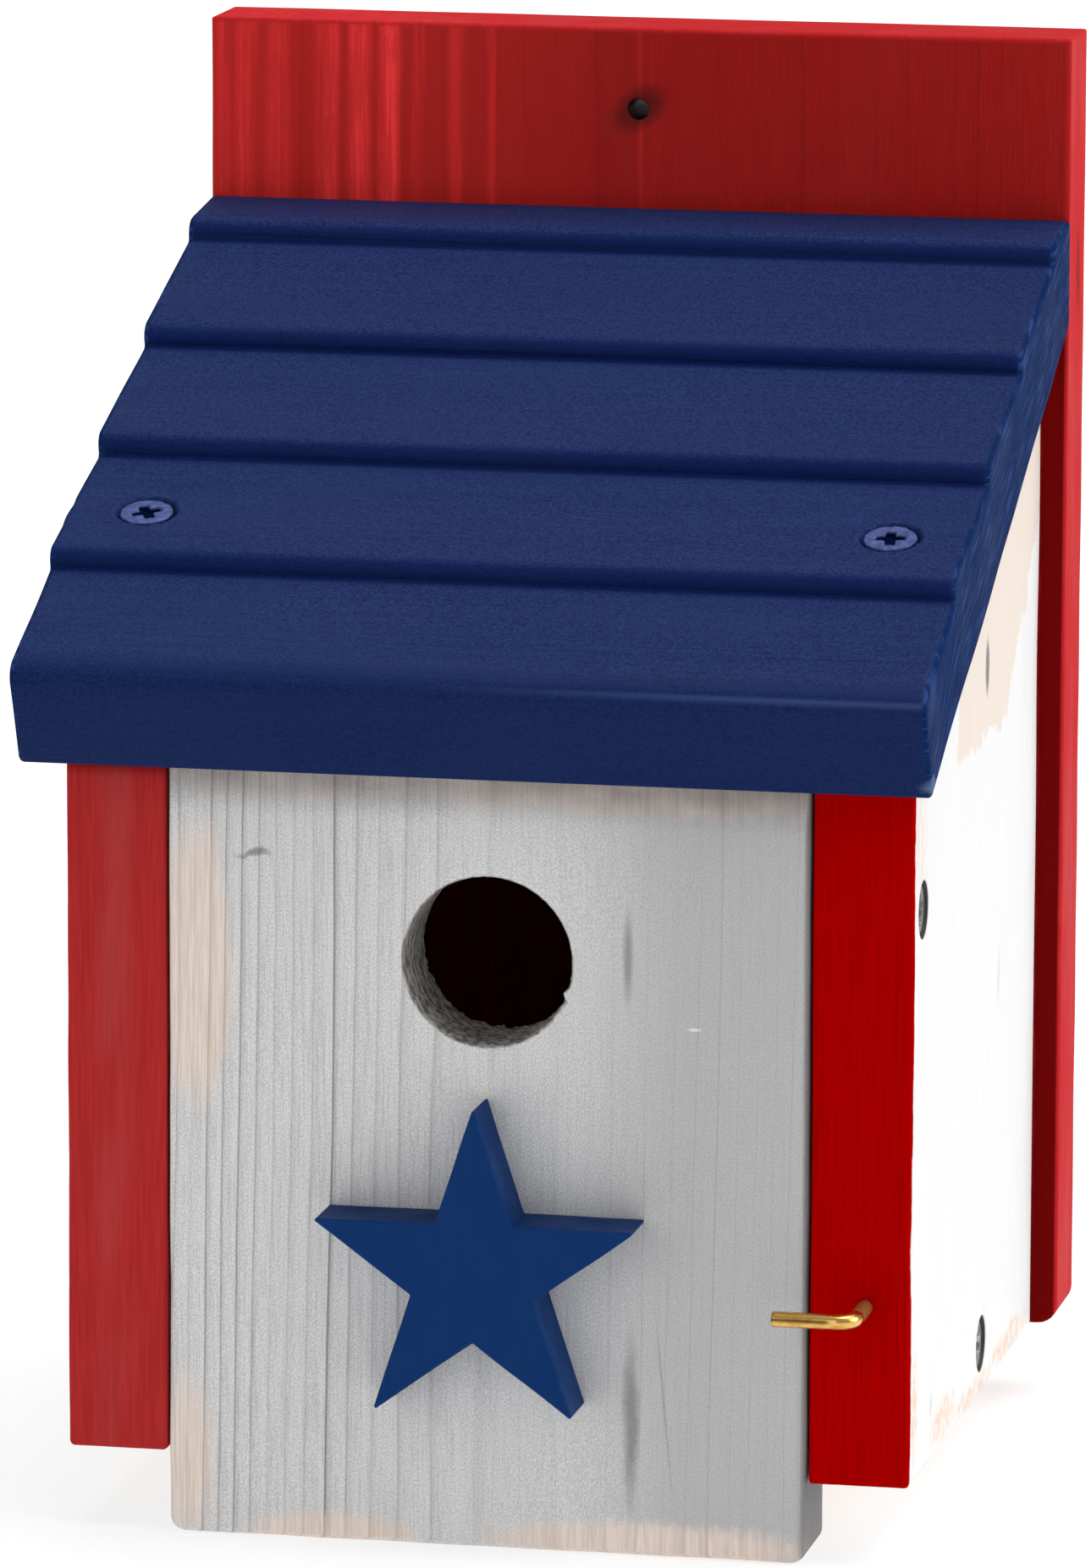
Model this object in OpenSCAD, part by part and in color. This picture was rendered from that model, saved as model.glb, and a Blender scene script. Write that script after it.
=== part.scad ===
// Nest box for small cavity-nesting birds, made of planed boards: a tall back board that screws to a post or
// wall, two side walls, a floor, a sloping roof board with milled courses, and a front panel that swings
// open on two side screws and is held shut by a square-bend brass screw hook.
// Origin: axis of the mounting hole, on the back face of the back board. The front faces -Y, +Z is up.

/* [Boards] */
// Thickness of the planed boards
stock_t = 19.05; // [16:0.05:20]
// Clear width between the two side walls
inner_w = 121.35; // [116:0.05:126]
// Depth of a side wall, from its front edge to the back board
side_depth = 139.7; // [130:0.1:150]
// Width of the back board
back_w = 169.8; // [164:0.1:180]
// Height of the back board
back_h = 253; // [248:1:280]
// Radius of the back board's bottom corners
back_corner_r = 4; // [1:0.5:8]
// Corner cut off the floor board for drainage
drain_cut = 9; // [4:1:15]
// Gap between the floor board and the front panel ahead of it
floor_gap = 1; // [0.5:0.1:3]

/* [Mounting hole] */
// Height of the mounting hole above the bottom of the walls
mount_h = 237; // [230:1:242]
// Diameter of the mounting hole
mount_d = 4; // [3.6:0.1:6]

/* [Roof] */
// Width of the roof board
roof_w = 170.2; // [164:0.1:190]
// Length of the roof board down its slope
roof_run = 175.5; // [170:0.5:190]
// Slope of the roof, in degrees
roof_slope = 23; // [18:0.5:26]
// Thickness of the roof board at the lips of its courses
roof_t = 24.4; // [22:0.1:26]
// Height of the roof line at the back board, above the bottom of the walls
roof_h = 217.6; // [212:0.1:225]
// Number of steps milled across the roof board
roof_steps = 4; // [2:1:4]
// Depth of each milled step
step_depth = 3.7; // [2:0.1:4.5]
// Distance from the back board to the first step
first_step = 19.9; // [18:0.1:22]
// Distance from one step to the next
step_pitch = 40.2; // [36:0.1:42]
// Radius of the roof's top front edge
eave_r = 4; // [2:0.5:6]
// Radius of the roof's bottom front edge
eave_under_r = 1; // [1:0.5:4]

/* [Front panel] */
// Gap between the front panel and each side wall
panel_gap = 0.35; // [0.3:0.05:1]
// How far the front panel hangs below the walls
panel_drop = 15.2; // [8:0.1:20]
// Height of the front panel's top edge above the bottom of the walls
panel_top = 135; // [132:0.5:136]
// Radius of the front panel's bottom corners
panel_corner_r = 3; // [1:0.5:6]
// Diameter of the entrance hole
entrance_d = 31.75; // [28:0.05:38]
// Height of the entrance hole's centre above the bottom of the walls
entrance_h = 95.6; // [90:0.1:100]
// Height of the pivot screws above the bottom of the walls
pivot_h = 107; // [104:0.5:112]
// Radial clearance of the front panel's bores round its pivot screws
pivot_clearance = 0.05; // [0.02:0.01:0.1]

/* [Star] */
// Radius of the star's points
star_r = 32.3; // [25:0.1:34]
// Thickness of the star
star_t = 12.7; // [5:0.1:15]
// Height of the star's centre above the bottom of the walls
star_h = 38.8; // [36:0.1:40]

/* [Screws] */
// Head diameter of the roof screws
roof_screw_head = 10; // [9:0.1:11]
// Head diameter of the wall and back screws
wall_screw_head = 9.4; // [8:0.1:10]
// Depth that the wall screws' heads are sunk below the surface
head_sink = 0.7; // [0.2:0.1:1.5]

/* [Hook] */
// Diameter of the hook's wire
hook_d = 2.9; // [2.5:0.1:3.2]
// Reach of the hook's arm from the middle of its shank
hook_reach = 15; // [14:0.1:16]
// Distance from the wall's front edge to the middle of the arm
hook_standoff = 12.5; // [12:0.1:14]
// Height of the hook above the bottom of the walls
hook_h = 34; // [30:1:40]
// Distance of the hook's shank from the middle of the box
hook_x = 71; // [70:0.1:72]
// Length of the shank inside the wall
hook_embed = 14; // [10:1:20]
// Radial clearance of the wall's bore round the hook's shank
hook_clearance = 0.05; // [0.02:0.01:0.1]

/* [Hidden] */
$fn = 64;

// Heights and depths in the box's own frame
base_z = -mount_h;
board_front_y = -stock_t;
wall_front_y = board_front_y - side_depth;
wall_x = inner_w / 2 + stock_t / 2;
outer_x = inner_w / 2 + stock_t;
panel_w = inner_w - 2 * panel_gap;
pivot_y = wall_front_y + stock_t / 2;
pivot_z = base_z + pivot_h;
floor_depth = side_depth - stock_t - floor_gap;
floor_mid_y = board_front_y - floor_depth / 2;

// Roof section: run is measured down the slope from the back board, rise square to the slope
notch_rise = 1.9;
lip_rise = notch_rise + step_depth;
under_rise = lip_rise - roof_t;
back_rise = 0.3;
eave_rise = 1.9;
tail_run = -12;
under_drop = -under_rise / cos(roof_slope);
course_angle = atan(step_depth / (step_pitch - step_depth));

// Screws: shank, tip and drive sizes
roof_shank_d = 4.8;
wall_shank_d = 4.2;
tip_length = 5;
roof_screw_length = 44;
pivot_screw_length = 32;
floor_screw_length = 38;
back_screw_length = 45;
back_roof_screw_length = 38;
recess_slot = 1.3;
recess_span = 5.2;
recess_depth = 2;
back_screw_heights = [42, 150];
floor_screw_x = 32;
roof_back_x = 42;
roof_back_h = 202;
roof_screw_course = 2;
roof_screw_share = 0.57;
overcut = 1;

function wall_top(y) = base_z + roof_h - under_drop - (board_front_y - y) * tan(roof_slope);
function arc(cx, cy, r, from, to, n = 8) =
    [for (i = [0:n]) let (a = from + (to - from) * i / n) [cx + r * cos(a), cy + r * sin(a)]];
function step_run(k) = first_step + k * step_pitch;
function course_rise(run) =
    notch_rise + (run - step_run(roof_screw_course)) / (step_pitch - step_depth) * step_depth;

// Extrudes a section drawn in Y and Z along X, centred
module across(width) {
    rotate([90, 0, 90]) linear_extrude(width, center = true) children();
}

// Stands a shape drawn in X and Z upright, its front face at y and its back face behind it
module upright(front_y, thickness) {
    translate([0, front_y + thickness, 0]) rotate([90, 0, 0]) linear_extrude(thickness) children();
}

// Rectangle from [0, 0] centred in X, with its bottom corners rounded
module rounded_board(width, height, r) {
    translate([-width / 2, r]) square([width, height - r]);
    translate([-width / 2 + r, 0]) square([width - 2 * r, height]);
    for (side = [-1, 1]) translate([side * (width / 2 - r), r]) circle(r);
}

// Countersunk wood screw: top of the head at z = 0, point downwards
module screw_body(shank_d, head_d, length) {
    head_depth = (head_d - shank_d) / 2;
    rotate_extrude() polygon([
        [0, 0], [head_d / 2, 0], [shank_d / 2, -head_depth],
        [shank_d / 2, tip_length - length], [0, -length]
    ]);
}

module screw(shank_d, head_d, length) {
    difference() {
        screw_body(shank_d, head_d, length);
        for (turn = [0, 90]) {
            rotate(turn) translate([-recess_span / 2, -recess_slot / 2, -recess_depth])
                cube([recess_span, recess_slot, recess_depth + overcut]);
        }
    }
}

// The space a screw takes in a board, with its countersink carried on out of the surface
module screw_space(shank_d, head_d, length) {
    head_depth = (head_d - shank_d) / 2;
    rise = overcut + head_sink;
    rotate_extrude() polygon([
        [0, rise], [head_d / 2 + rise, rise], [shank_d / 2, -head_depth],
        [shank_d / 2, tip_length - length], [0, -length]
    ]);
}

// Places: each puts its children where that screw goes, head outwards
module at_pivot(side) {
    translate([side * (outer_x - head_sink), pivot_y, pivot_z]) rotate([0, side * 90, 0]) children();
}

module at_floor_edge(side) {
    translate([side * (outer_x - head_sink), floor_mid_y, base_z + stock_t / 2])
        rotate([0, side * 90, 0]) children();
}

module at_back(x, height) {
    translate([x, 0, base_z + height]) rotate([-90, 0, 0]) translate([0, 0, -head_sink]) children();
}

module at_roof(side) {
    run = step_run(roof_screw_course) + roof_screw_share * step_pitch;
    translate([side * wall_x, board_front_y, base_z + roof_h]) rotate([roof_slope, 0, 0])
        translate([0, -run, course_rise(run)]) rotate([-course_angle, 0, 0]) children();
}

module at_hook() {
    translate([hook_x, wall_front_y, base_z + hook_h]) children();
}

module back_side_places(side) {
    for (height = back_screw_heights) at_back(side * wall_x, height) children();
}

module back_floor_places() {
    for (side = [-1, 1]) at_back(side * floor_screw_x, stock_t / 2) children();
}

module back_roof_places() {
    for (side = [-1, 1]) at_back(side * roof_back_x, roof_back_h) children();
}

module back_board() {
    color([0.70, 0.12, 0.12]) difference() {
        translate([0, 0, base_z]) upright(board_front_y, stock_t)
            rounded_board(back_w, back_h, back_corner_r);
        rotate([90, 0, 0]) translate([0, 0, -overcut]) cylinder(d = mount_d, h = stock_t + 2 * overcut);
        for (side = [-1, 1]) back_side_places(side)
            screw_space(wall_shank_d, wall_screw_head, back_screw_length);
        back_floor_places() screw_space(wall_shank_d, wall_screw_head, back_screw_length);
        back_roof_places() screw_space(wall_shank_d, wall_screw_head, back_roof_screw_length);
    }
}

// One side wall: its top edge follows the underside of the roof board
module side_wall(side) {
    color([0.94, 0.93, 0.91]) difference() {
        translate([side * wall_x, 0, 0]) across(stock_t) polygon([
            [wall_front_y, base_z], [board_front_y, base_z],
            [board_front_y, wall_top(board_front_y)], [wall_front_y, wall_top(wall_front_y)]
        ]);
        at_pivot(side) screw_space(wall_shank_d, wall_screw_head, pivot_screw_length);
        at_floor_edge(side) screw_space(wall_shank_d, wall_screw_head, floor_screw_length);
        at_roof(side) screw_body(roof_shank_d, roof_screw_head, roof_screw_length);
        back_side_places(side) screw_space(wall_shank_d, wall_screw_head, back_screw_length);
        if (side > 0) at_hook() hook_bore();
    }
}

module left_side() {
    side_wall(-1);
}

module right_side() {
    side_wall(1);
}

// Floor with its corners cut off so that water drains out
module floor_board() {
    half_w = inner_w / 2;
    front_y = board_front_y - floor_depth;
    color([0.80, 0.66, 0.46]) difference() {
        translate([0, 0, base_z]) linear_extrude(stock_t) polygon([
            [half_w - drain_cut, board_front_y], [half_w, board_front_y - drain_cut],
            [half_w, front_y + drain_cut], [half_w - drain_cut, front_y],
            [drain_cut - half_w, front_y], [-half_w, front_y + drain_cut],
            [-half_w, board_front_y - drain_cut], [drain_cut - half_w, board_front_y]
        ]);
        for (side = [-1, 1]) at_floor_edge(side)
            screw_space(wall_shank_d, wall_screw_head, floor_screw_length);
        back_floor_places() screw_space(wall_shank_d, wall_screw_head, back_screw_length);
    }
}

// Front panel that turns on the two pivot screws: its bores run past their points with clearance
module front_panel() {
    bore_depth = outer_x - head_sink - pivot_screw_length - 1;
    color([0.88, 0.87, 0.85]) difference() {
        translate([0, 0, base_z - panel_drop]) upright(wall_front_y, stock_t)
            rounded_board(panel_w, panel_top + panel_drop, panel_corner_r);
        translate([0, wall_front_y - overcut, base_z + entrance_h]) rotate([-90, 0, 0])
            cylinder(d = entrance_d, h = stock_t + 2 * overcut);
        for (side = [-1, 1]) translate([side * bore_depth, pivot_y, pivot_z]) rotate([0, side * 90, 0])
            cylinder(d = wall_shank_d + 2 * pivot_clearance, h = outer_x - bore_depth);
    }
}

// Roof board with lap-siding courses: each rises to a rounded lip and then drops by one step
module roof_section() {
    lip = function (k) arc(step_run(k) - step_depth, notch_rise, step_depth, 90, 0);
    lips = [for (k = [0:roof_steps - 1]) each lip(k)];
    back_slope = (lip_rise - back_rise) / (first_step - step_depth);
    polygon(concat(
        [[tail_run, under_rise], [tail_run, back_rise + tail_run * back_slope]],
        lips,
        arc(roof_run - eave_r, eave_rise - eave_r, eave_r, 90, 0),
        arc(roof_run - eave_under_r, under_rise + eave_under_r, eave_under_r, 0, -90)
    ));
}

module roof_board() {
    color([0.09, 0.15, 0.38]) difference() {
        translate([0, board_front_y, base_z + roof_h]) rotate([roof_slope, 0, 0]) rotate([0, 0, -90])
            rotate([90, 0, 0]) linear_extrude(roof_w, center = true) roof_section();
        translate([-roof_w, board_front_y, base_z]) cube([2 * roof_w, stock_t * 2, back_h * 2]);
        for (side = [-1, 1]) at_roof(side) screw_space(roof_shank_d, roof_screw_head, roof_screw_length);
        back_roof_places() screw_space(wall_shank_d, wall_screw_head, back_roof_screw_length);
    }
}

// Five-pointed star with straight edges from point to point
module star_ornament() {
    inner_r = star_r * sin(18) / sin(54);
    points = [
        for (i = [0:9])
            let (r = i % 2 == 0 ? star_r : inner_r, a = 90 + i * 36)
            [r * cos(a), r * sin(a)]
    ];
    color([0.06, 0.15, 0.38]) translate([0, 0, base_z + star_h])
        upright(wall_front_y - star_t, star_t) polygon(points);
}

module hook_bore() {
    rotate([-90, 0, 0]) translate([0, 0, -overcut])
        cylinder(d = hook_d + 2 * hook_clearance, h = hook_embed + overcut + 1);
}

// Square-bend screw hook: a shank out of the wall, a tight bend, and an arm across the panel's edge
module brass_hook() {
    bend_r = hook_d;
    wire_r = hook_d / 2;
    color([0.80, 0.62, 0.28]) at_hook() {
        translate([0, bend_r - hook_standoff, 0]) rotate([-90, 0, 0])
            cylinder(r = wire_r, h = hook_standoff - bend_r + hook_embed);
        translate([-bend_r, bend_r - hook_standoff, 0]) rotate([0, 0, -90])
            rotate_extrude(angle = 90) translate([bend_r, 0]) circle(wire_r);
        translate([-bend_r, -hook_standoff, 0]) rotate([0, -90, 0])
            cylinder(r = wire_r, h = hook_reach - bend_r - wire_r);
        translate([wire_r - hook_reach, -hook_standoff, 0]) sphere(wire_r);
    }
}

module roof_screw_left() {
    color([0.30, 0.36, 0.60]) at_roof(-1) screw(roof_shank_d, roof_screw_head, roof_screw_length);
}

module roof_screw_right() {
    color([0.30, 0.36, 0.60]) at_roof(1) screw(roof_shank_d, roof_screw_head, roof_screw_length);
}

module pivot_screw_left() {
    color([0.50, 0.50, 0.50]) at_pivot(-1) screw(wall_shank_d, wall_screw_head, pivot_screw_length);
}

module pivot_screw_right() {
    color([0.50, 0.50, 0.50]) at_pivot(1) screw(wall_shank_d, wall_screw_head, pivot_screw_length);
}

module floor_screw_left() {
    color([0.50, 0.50, 0.50]) at_floor_edge(-1) screw(wall_shank_d, wall_screw_head, floor_screw_length);
}

module floor_screw_right() {
    color([0.50, 0.50, 0.50]) at_floor_edge(1) screw(wall_shank_d, wall_screw_head, floor_screw_length);
}

module back_side_screws_left() {
    color([0.50, 0.50, 0.50]) back_side_places(-1) screw(wall_shank_d, wall_screw_head, back_screw_length);
}

module back_side_screws_right() {
    color([0.50, 0.50, 0.50]) back_side_places(1) screw(wall_shank_d, wall_screw_head, back_screw_length);
}

module back_floor_screws() {
    color([0.50, 0.50, 0.50]) back_floor_places() screw(wall_shank_d, wall_screw_head, back_screw_length);
}

module back_roof_screws() {
    color([0.50, 0.50, 0.50]) back_roof_places()
        screw(wall_shank_d, wall_screw_head, back_roof_screw_length);
}

back_board();
left_side();
right_side();
floor_board();
front_panel();
roof_board();
star_ornament();
roof_screw_left();
roof_screw_right();
pivot_screw_left();
pivot_screw_right();
floor_screw_left();
floor_screw_right();
back_side_screws_left();
back_side_screws_right();
back_floor_screws();
back_roof_screws();
brass_hook();
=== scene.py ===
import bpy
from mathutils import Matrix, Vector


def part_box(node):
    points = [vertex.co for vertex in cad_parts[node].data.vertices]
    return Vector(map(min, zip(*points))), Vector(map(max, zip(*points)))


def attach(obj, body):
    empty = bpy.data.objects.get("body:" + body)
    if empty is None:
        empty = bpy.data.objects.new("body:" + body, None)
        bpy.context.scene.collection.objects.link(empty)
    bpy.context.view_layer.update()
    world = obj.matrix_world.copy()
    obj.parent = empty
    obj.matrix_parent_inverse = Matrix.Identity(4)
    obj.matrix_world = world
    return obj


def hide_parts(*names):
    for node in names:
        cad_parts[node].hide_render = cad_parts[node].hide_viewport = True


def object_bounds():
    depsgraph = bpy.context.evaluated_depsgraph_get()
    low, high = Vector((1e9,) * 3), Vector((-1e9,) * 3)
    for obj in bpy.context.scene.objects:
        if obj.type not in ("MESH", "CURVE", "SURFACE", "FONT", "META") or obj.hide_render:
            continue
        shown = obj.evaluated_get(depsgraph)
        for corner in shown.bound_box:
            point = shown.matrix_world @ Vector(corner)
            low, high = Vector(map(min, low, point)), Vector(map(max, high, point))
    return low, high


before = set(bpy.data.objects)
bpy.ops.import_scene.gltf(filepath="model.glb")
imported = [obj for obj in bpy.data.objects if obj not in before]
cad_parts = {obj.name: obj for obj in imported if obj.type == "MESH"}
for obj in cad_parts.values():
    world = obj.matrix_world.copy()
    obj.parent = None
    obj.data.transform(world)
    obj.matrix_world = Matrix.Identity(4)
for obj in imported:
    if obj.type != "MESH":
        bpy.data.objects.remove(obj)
CAD_BOX = [list(corner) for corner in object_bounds()]

# A wooden birdhouse with a milled, stepped roof, a swinging front panel with
# a star on it, and a brass hook that keeps the panel shut.
# Sizes are in metres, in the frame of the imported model.

import bpy
import numpy as np
from bpy.props import FloatProperty, FloatVectorProperty, PointerProperty
from bpy.types import Operator, Panel, PropertyGroup
from mathutils import Matrix, Vector, geometry

bl_info = {
    "name": "Stepped-Roof Birdhouse",
    "version": (1, 0, 0),
    "blender": (4, 5, 0),
    "location": "View3D > Sidebar > Birdhouse",
    "description": "Builds the painted wooden pieces, screws and hook of a birdhouse",
    "category": "Add Mesh",
}

MM = 0.001
TAU = 2 * np.pi

# Which world axis each of a board's own axes lies on: first along the face,
# second along the face, and through the thickness.
FACING_FRONT = np.array([[1, 0, 0], [0, 0, 1], [0, -1, 0]], float)
FACING_SIDE = np.array([[0, 1, 0], [0, 0, 1], [1, 0, 0]], float)
FACING_UP = np.eye(3)

# The roof board, which is milled with four courses like shingles.
ROOF_SLOPE = np.radians(23.0)
ROOF_TOP_HEIGHT = 217.6 * MM
ROOF_RUN = 175.5 * MM
ROOF_LIP_RISE = 5.6 * MM
ROOF_NOTCH_RISE = 1.9 * MM
ROOF_BACK_RISE = 0.3 * MM
ROOF_UNDER_RISE = -18.8 * MM
ROOF_FIRST_STEP = 19.9 * MM
ROOF_STEP_PITCH = 40.2 * MM
ROOF_STEPS = 4
ROOF_STEP_DEPTH = 3.7 * MM
ROOF_SCREW_SHARE = 0.57

# The wood screws.
WALL_SCREW_HEAD = 9.4 * MM
WALL_SCREW_SHANK = 4.2 * MM
ROOF_SCREW_HEAD = 10 * MM
ROOF_SCREW_SHANK = 4.8 * MM
ROOF_SCREW_LENGTH = 44 * MM
SCREW_TIP = 5 * MM

# A board's rounded edges: how rubbed they are from one side of the round to
# the other, and how far the edge ripples in.
EDGE_RUB = [0.0, 0.35, 0.8, 1.0, 0.8, 0.35, 0.0]
EDGE_RIPPLE = 0.07 * MM

# Upright bands on the back board where the red is thin: how far right of the
# middle each one is, and half its width.
BACK_THIN_BANDS = np.array([(-82.6, 1.2), (-78.1, 1.9), (-71.8, 2.4), (-61.8, 2.2),
                            (-55.4, 2.0), (-49.5, 1.8)]) * MM
BACK_FAINT_BANDS = np.array([(-43.5, 1.1), (-36, 1.4), (-29, 0.9), (0.4, 0.35)]) * MM

# Worn places on a wall's outer face, in millimetres: how far back from the
# front edge and up from the foot, and half the depth and height.
WALL_WORN_PLACES = ((4, 14, 3.2, 9), (37, 5, 12, 3.5), (70, 2, 20, 2.2), (112, 3, 20, 2.6))

# The studio.
FLOOR_REACH = 8.0
FLOOR_GAP = 0.2 * MM
SKY_SEEN, SKY_LIGHT = 1.0, 0.42
CAMERA_PLACE = (0.41312, -2.12011, 0.25439)
CAMERA_YAW_PITCH_ROLL = (11.591, -10.25, 0.208)
CAMERA_LENS, CAMERA_SENSOR = 255.127, 36.0


def srgb(red, green, blue):
    """A paint colour from its red, green and blue out of 255, as linear light."""
    part = np.array([red, green, blue]) / 255
    return tuple(np.where(part < 0.04045, part / 12.92, ((part + 0.055) / 1.055) ** 2.4))


RED_THIN = srgb(244, 56, 56)
# Lighter red painted on the back board's lit right and top faces.
RED_LIT_SIDE, RED_LIT_SIDE_DARK = srgb(190, 40, 44), srgb(176, 32, 36)
RED_KNOT = srgb(110, 14, 18)
# Painted shadow of the right wall on the back board.
RED_WALL_SHADOW = srgb(104, 4, 5)
RED_STAIN = srgb(52, 10, 10)
RED_RUBBED = srgb(190, 50, 52)
RED_INSIDE_HOLES = srgb(38, 14, 12)
STRIP_RED, STRIP_RED_DARK = (0.395, 0.0, 0.0), (0.33, 0.0, 0.0)

WALL_UNDER_ROOF = srgb(212, 200, 189)
WALL_TAN, WALL_TAN_DARK = srgb(224, 208, 196), srgb(208, 176, 152)
WALL_MARK = srgb(96, 90, 86)
WALL_INSIDE_HOLES = srgb(60, 57, 55)

PANEL_LEFT, PANEL_RIGHT = srgb(226, 226, 226), srgb(189, 189, 189)
PANEL_SPECK = srgb(160, 160, 161)
PANEL_FIBRE = srgb(140, 140, 141)
PANEL_LINE, PANEL_BESIDE_LINE = srgb(92, 91, 91), srgb(226, 225, 224)
PANEL_TAN, PANEL_TAN_DARK = srgb(240, 222, 210), srgb(218, 198, 184)
PANEL_TAN_LINE = srgb(156, 142, 130)
PANEL_MARK = srgb(84, 84, 84)
PANEL_CHIP = srgb(240, 240, 240)
# Painted shade for the panel: under the eave and in the gap by the right wall.
PANEL_SHADE = srgb(62, 57, 54)
HOLE_PALE, HOLE_DARK = srgb(186, 182, 178), srgb(108, 104, 100)

# Painted shade in the roof's notches.
NOTCH_SHADE_BLUE = srgb(3, 24, 78)
# Painted shade on the roof's eave.
EAVE_SHADE_BLUE = srgb(5, 27, 72)
END_BLUE, END_BLUE_PALE = srgb(11, 34, 76), srgb(46, 70, 124)
RUBBED_BLUE = srgb(44, 62, 116)
# Painted highlight on the eave's edge.
ARRIS_HIGHLIGHT_BLUE = srgb(70, 88, 140)
CHIPPED_BLUE = srgb(96, 112, 150)
SCREW_PALE_BLUE, SCREW_BLUE = srgb(62, 76, 132), srgb(46, 60, 112)
# Painted shade in the screws' cross recesses.
RECESS_SHADE_BLUE = srgb(5, 16, 46)

WOOD_STAIN = srgb(150, 126, 104)
# Painted dark reflection on the hook's arm, and the shank's duller brass.
BRASS_REFLECTION, BRASS_DULL = srgb(58, 40, 16), srgb(124, 90, 42)
RECESS_DARK = (0.05, 0.045, 0.04)


# ---------------------------------------------------------------- settings


class BirdhouseSizes(PropertyGroup):
    """Sizes of the hand finish on the boards."""

    edge_round: FloatProperty(
        name="Edge rounding", description="Radius the sanded edges are worn to",
        default=0.9 * MM, min=0.3 * MM, max=2 * MM, unit="LENGTH", subtype="DISTANCE")
    edge_wear: FloatProperty(
        name="Edge unevenness", description="How much the rounding changes along an edge",
        default=0.45, min=0, max=0.8, subtype="FACTOR")
    face_waver: FloatProperty(
        name="Face unevenness", description="How far the faces dip below a true plane",
        default=0.12 * MM, min=0, max=0.4 * MM, unit="LENGTH", subtype="DISTANCE")
    grain_depth: FloatProperty(
        name="Grain depth", description="Depth of the grain that shows through the paint",
        default=0.22 * MM, min=0, max=0.6 * MM, unit="LENGTH", subtype="DISTANCE")
    tear: FloatProperty(
        name="Hole tear-out", description="How far the inner rim of the entrance is torn",
        default=3.2 * MM, min=0, max=6 * MM, unit="LENGTH", subtype="DISTANCE")
    countersink: FloatProperty(
        name="Countersink", description="Width of the sunk holes over the wall screws",
        default=10.8 * MM, min=9.6 * MM, max=12 * MM, unit="LENGTH", subtype="DISTANCE")


class BirdhouseColours(PropertyGroup):
    """Colours of the paints and metals."""

    red: FloatVectorProperty(
        name="Red paint", description="Back board and the walls' front edges",
        default=srgb(152, 18, 16), size=3, min=0, max=1, subtype="COLOR")
    white: FloatVectorProperty(
        name="White paint", description="Outer faces of the side walls",
        default=srgb(218, 218, 218), size=3, min=0, max=1, subtype="COLOR")
    blue: FloatVectorProperty(
        name="Blue paint", description="Roof board",
        default=srgb(18, 37, 82), size=3, min=0, max=1, subtype="COLOR")
    star: FloatVectorProperty(
        name="Star paint", description="Star ornament",
        default=srgb(6, 46, 98), size=3, min=0, max=1, subtype="COLOR")
    wood: FloatVectorProperty(
        name="Bare wood", description="Floor, inside faces and worn places",
        default=srgb(226, 192, 160), size=3, min=0, max=1, subtype="COLOR")
    brass: FloatVectorProperty(
        name="Brass", description="Screw hook",
        default=srgb(226, 182, 106), size=3, min=0, max=1, subtype="COLOR")
    zinc: FloatVectorProperty(
        name="Zinc", description="Wood screws that are not painted over",
        default=srgb(128, 130, 134), size=3, min=0, max=1, subtype="COLOR")


# ------------------------------------------------------------ shaping tools


def unit(vectors):
    """The same directions at length one."""
    return vectors / np.maximum(np.linalg.norm(vectors, axis=-1, keepdims=True), 1e-12)


def ease(value):
    """From 0 to 1 with a soft start and end, by three squares less two cubes."""
    value = np.clip(value, 0, 1)
    return value * value * (3 - 2 * value)


def wobble(turn, seed, low=1, high=9, waves=7):
    """A smooth wobble from about -1 to 1 that closes on itself: sines that each
    make a whole number of turns, added."""
    draw = np.random.default_rng(seed)
    turns = draw.integers(low, high + 1, waves)
    start = draw.uniform(0, TAU, waves)
    size = draw.uniform(0.4, 1.0, waves)
    waves_now = size * np.sin(TAU * turns * np.asarray(turn)[..., None] + start)
    return 1.6 * waves_now.sum(-1) / size.sum()


def lumps(points, size, seed, waves=30):
    """Random lumps about size across, from about -1 to 1: plane waves that run
    in random directions, added."""
    draw = np.random.default_rng(seed)
    facing = unit(draw.normal(size=(waves, points.shape[-1])))
    rate = TAU / size * draw.uniform(0.6, 1.5, (waves, 1))
    swell = np.sin(points @ (facing * rate).T + draw.uniform(0, TAU, waves))
    return swell.sum(-1) / np.sqrt(2 * waves)


def rounded(corners, radii, pieces=6):
    """A closed outline with each corner turned into an arc. The arc's centre is
    on the corner's middle line, and the arm from it swings from one tangent
    point to the other."""
    corners = np.asarray(corners, float)
    radii = np.broadcast_to(radii, len(corners))[:, None]
    arriving = unit(corners - np.roll(corners, 1, 0))
    leaving = unit(np.roll(corners, -1, 0) - corners)
    turn = np.arccos(np.clip((arriving * leaving).sum(1), -1, 1))[:, None]
    reach = radii * np.tan(turn / 2)
    centre = corners + unit(leaving - arriving) * radii / np.cos(turn / 2)
    first = (corners - arriving * reach - centre)[:, None]
    last = (corners + leaving * reach - centre)[:, None]
    share = np.linspace(0, 1, pieces + 1)[None, :, None]
    turn = turn[:, None]
    arms = np.sin((1 - share) * turn) * first + np.sin(share * turn) * last
    return (centre[:, None] + arms / np.sin(turn)).reshape(-1, 2)


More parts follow.
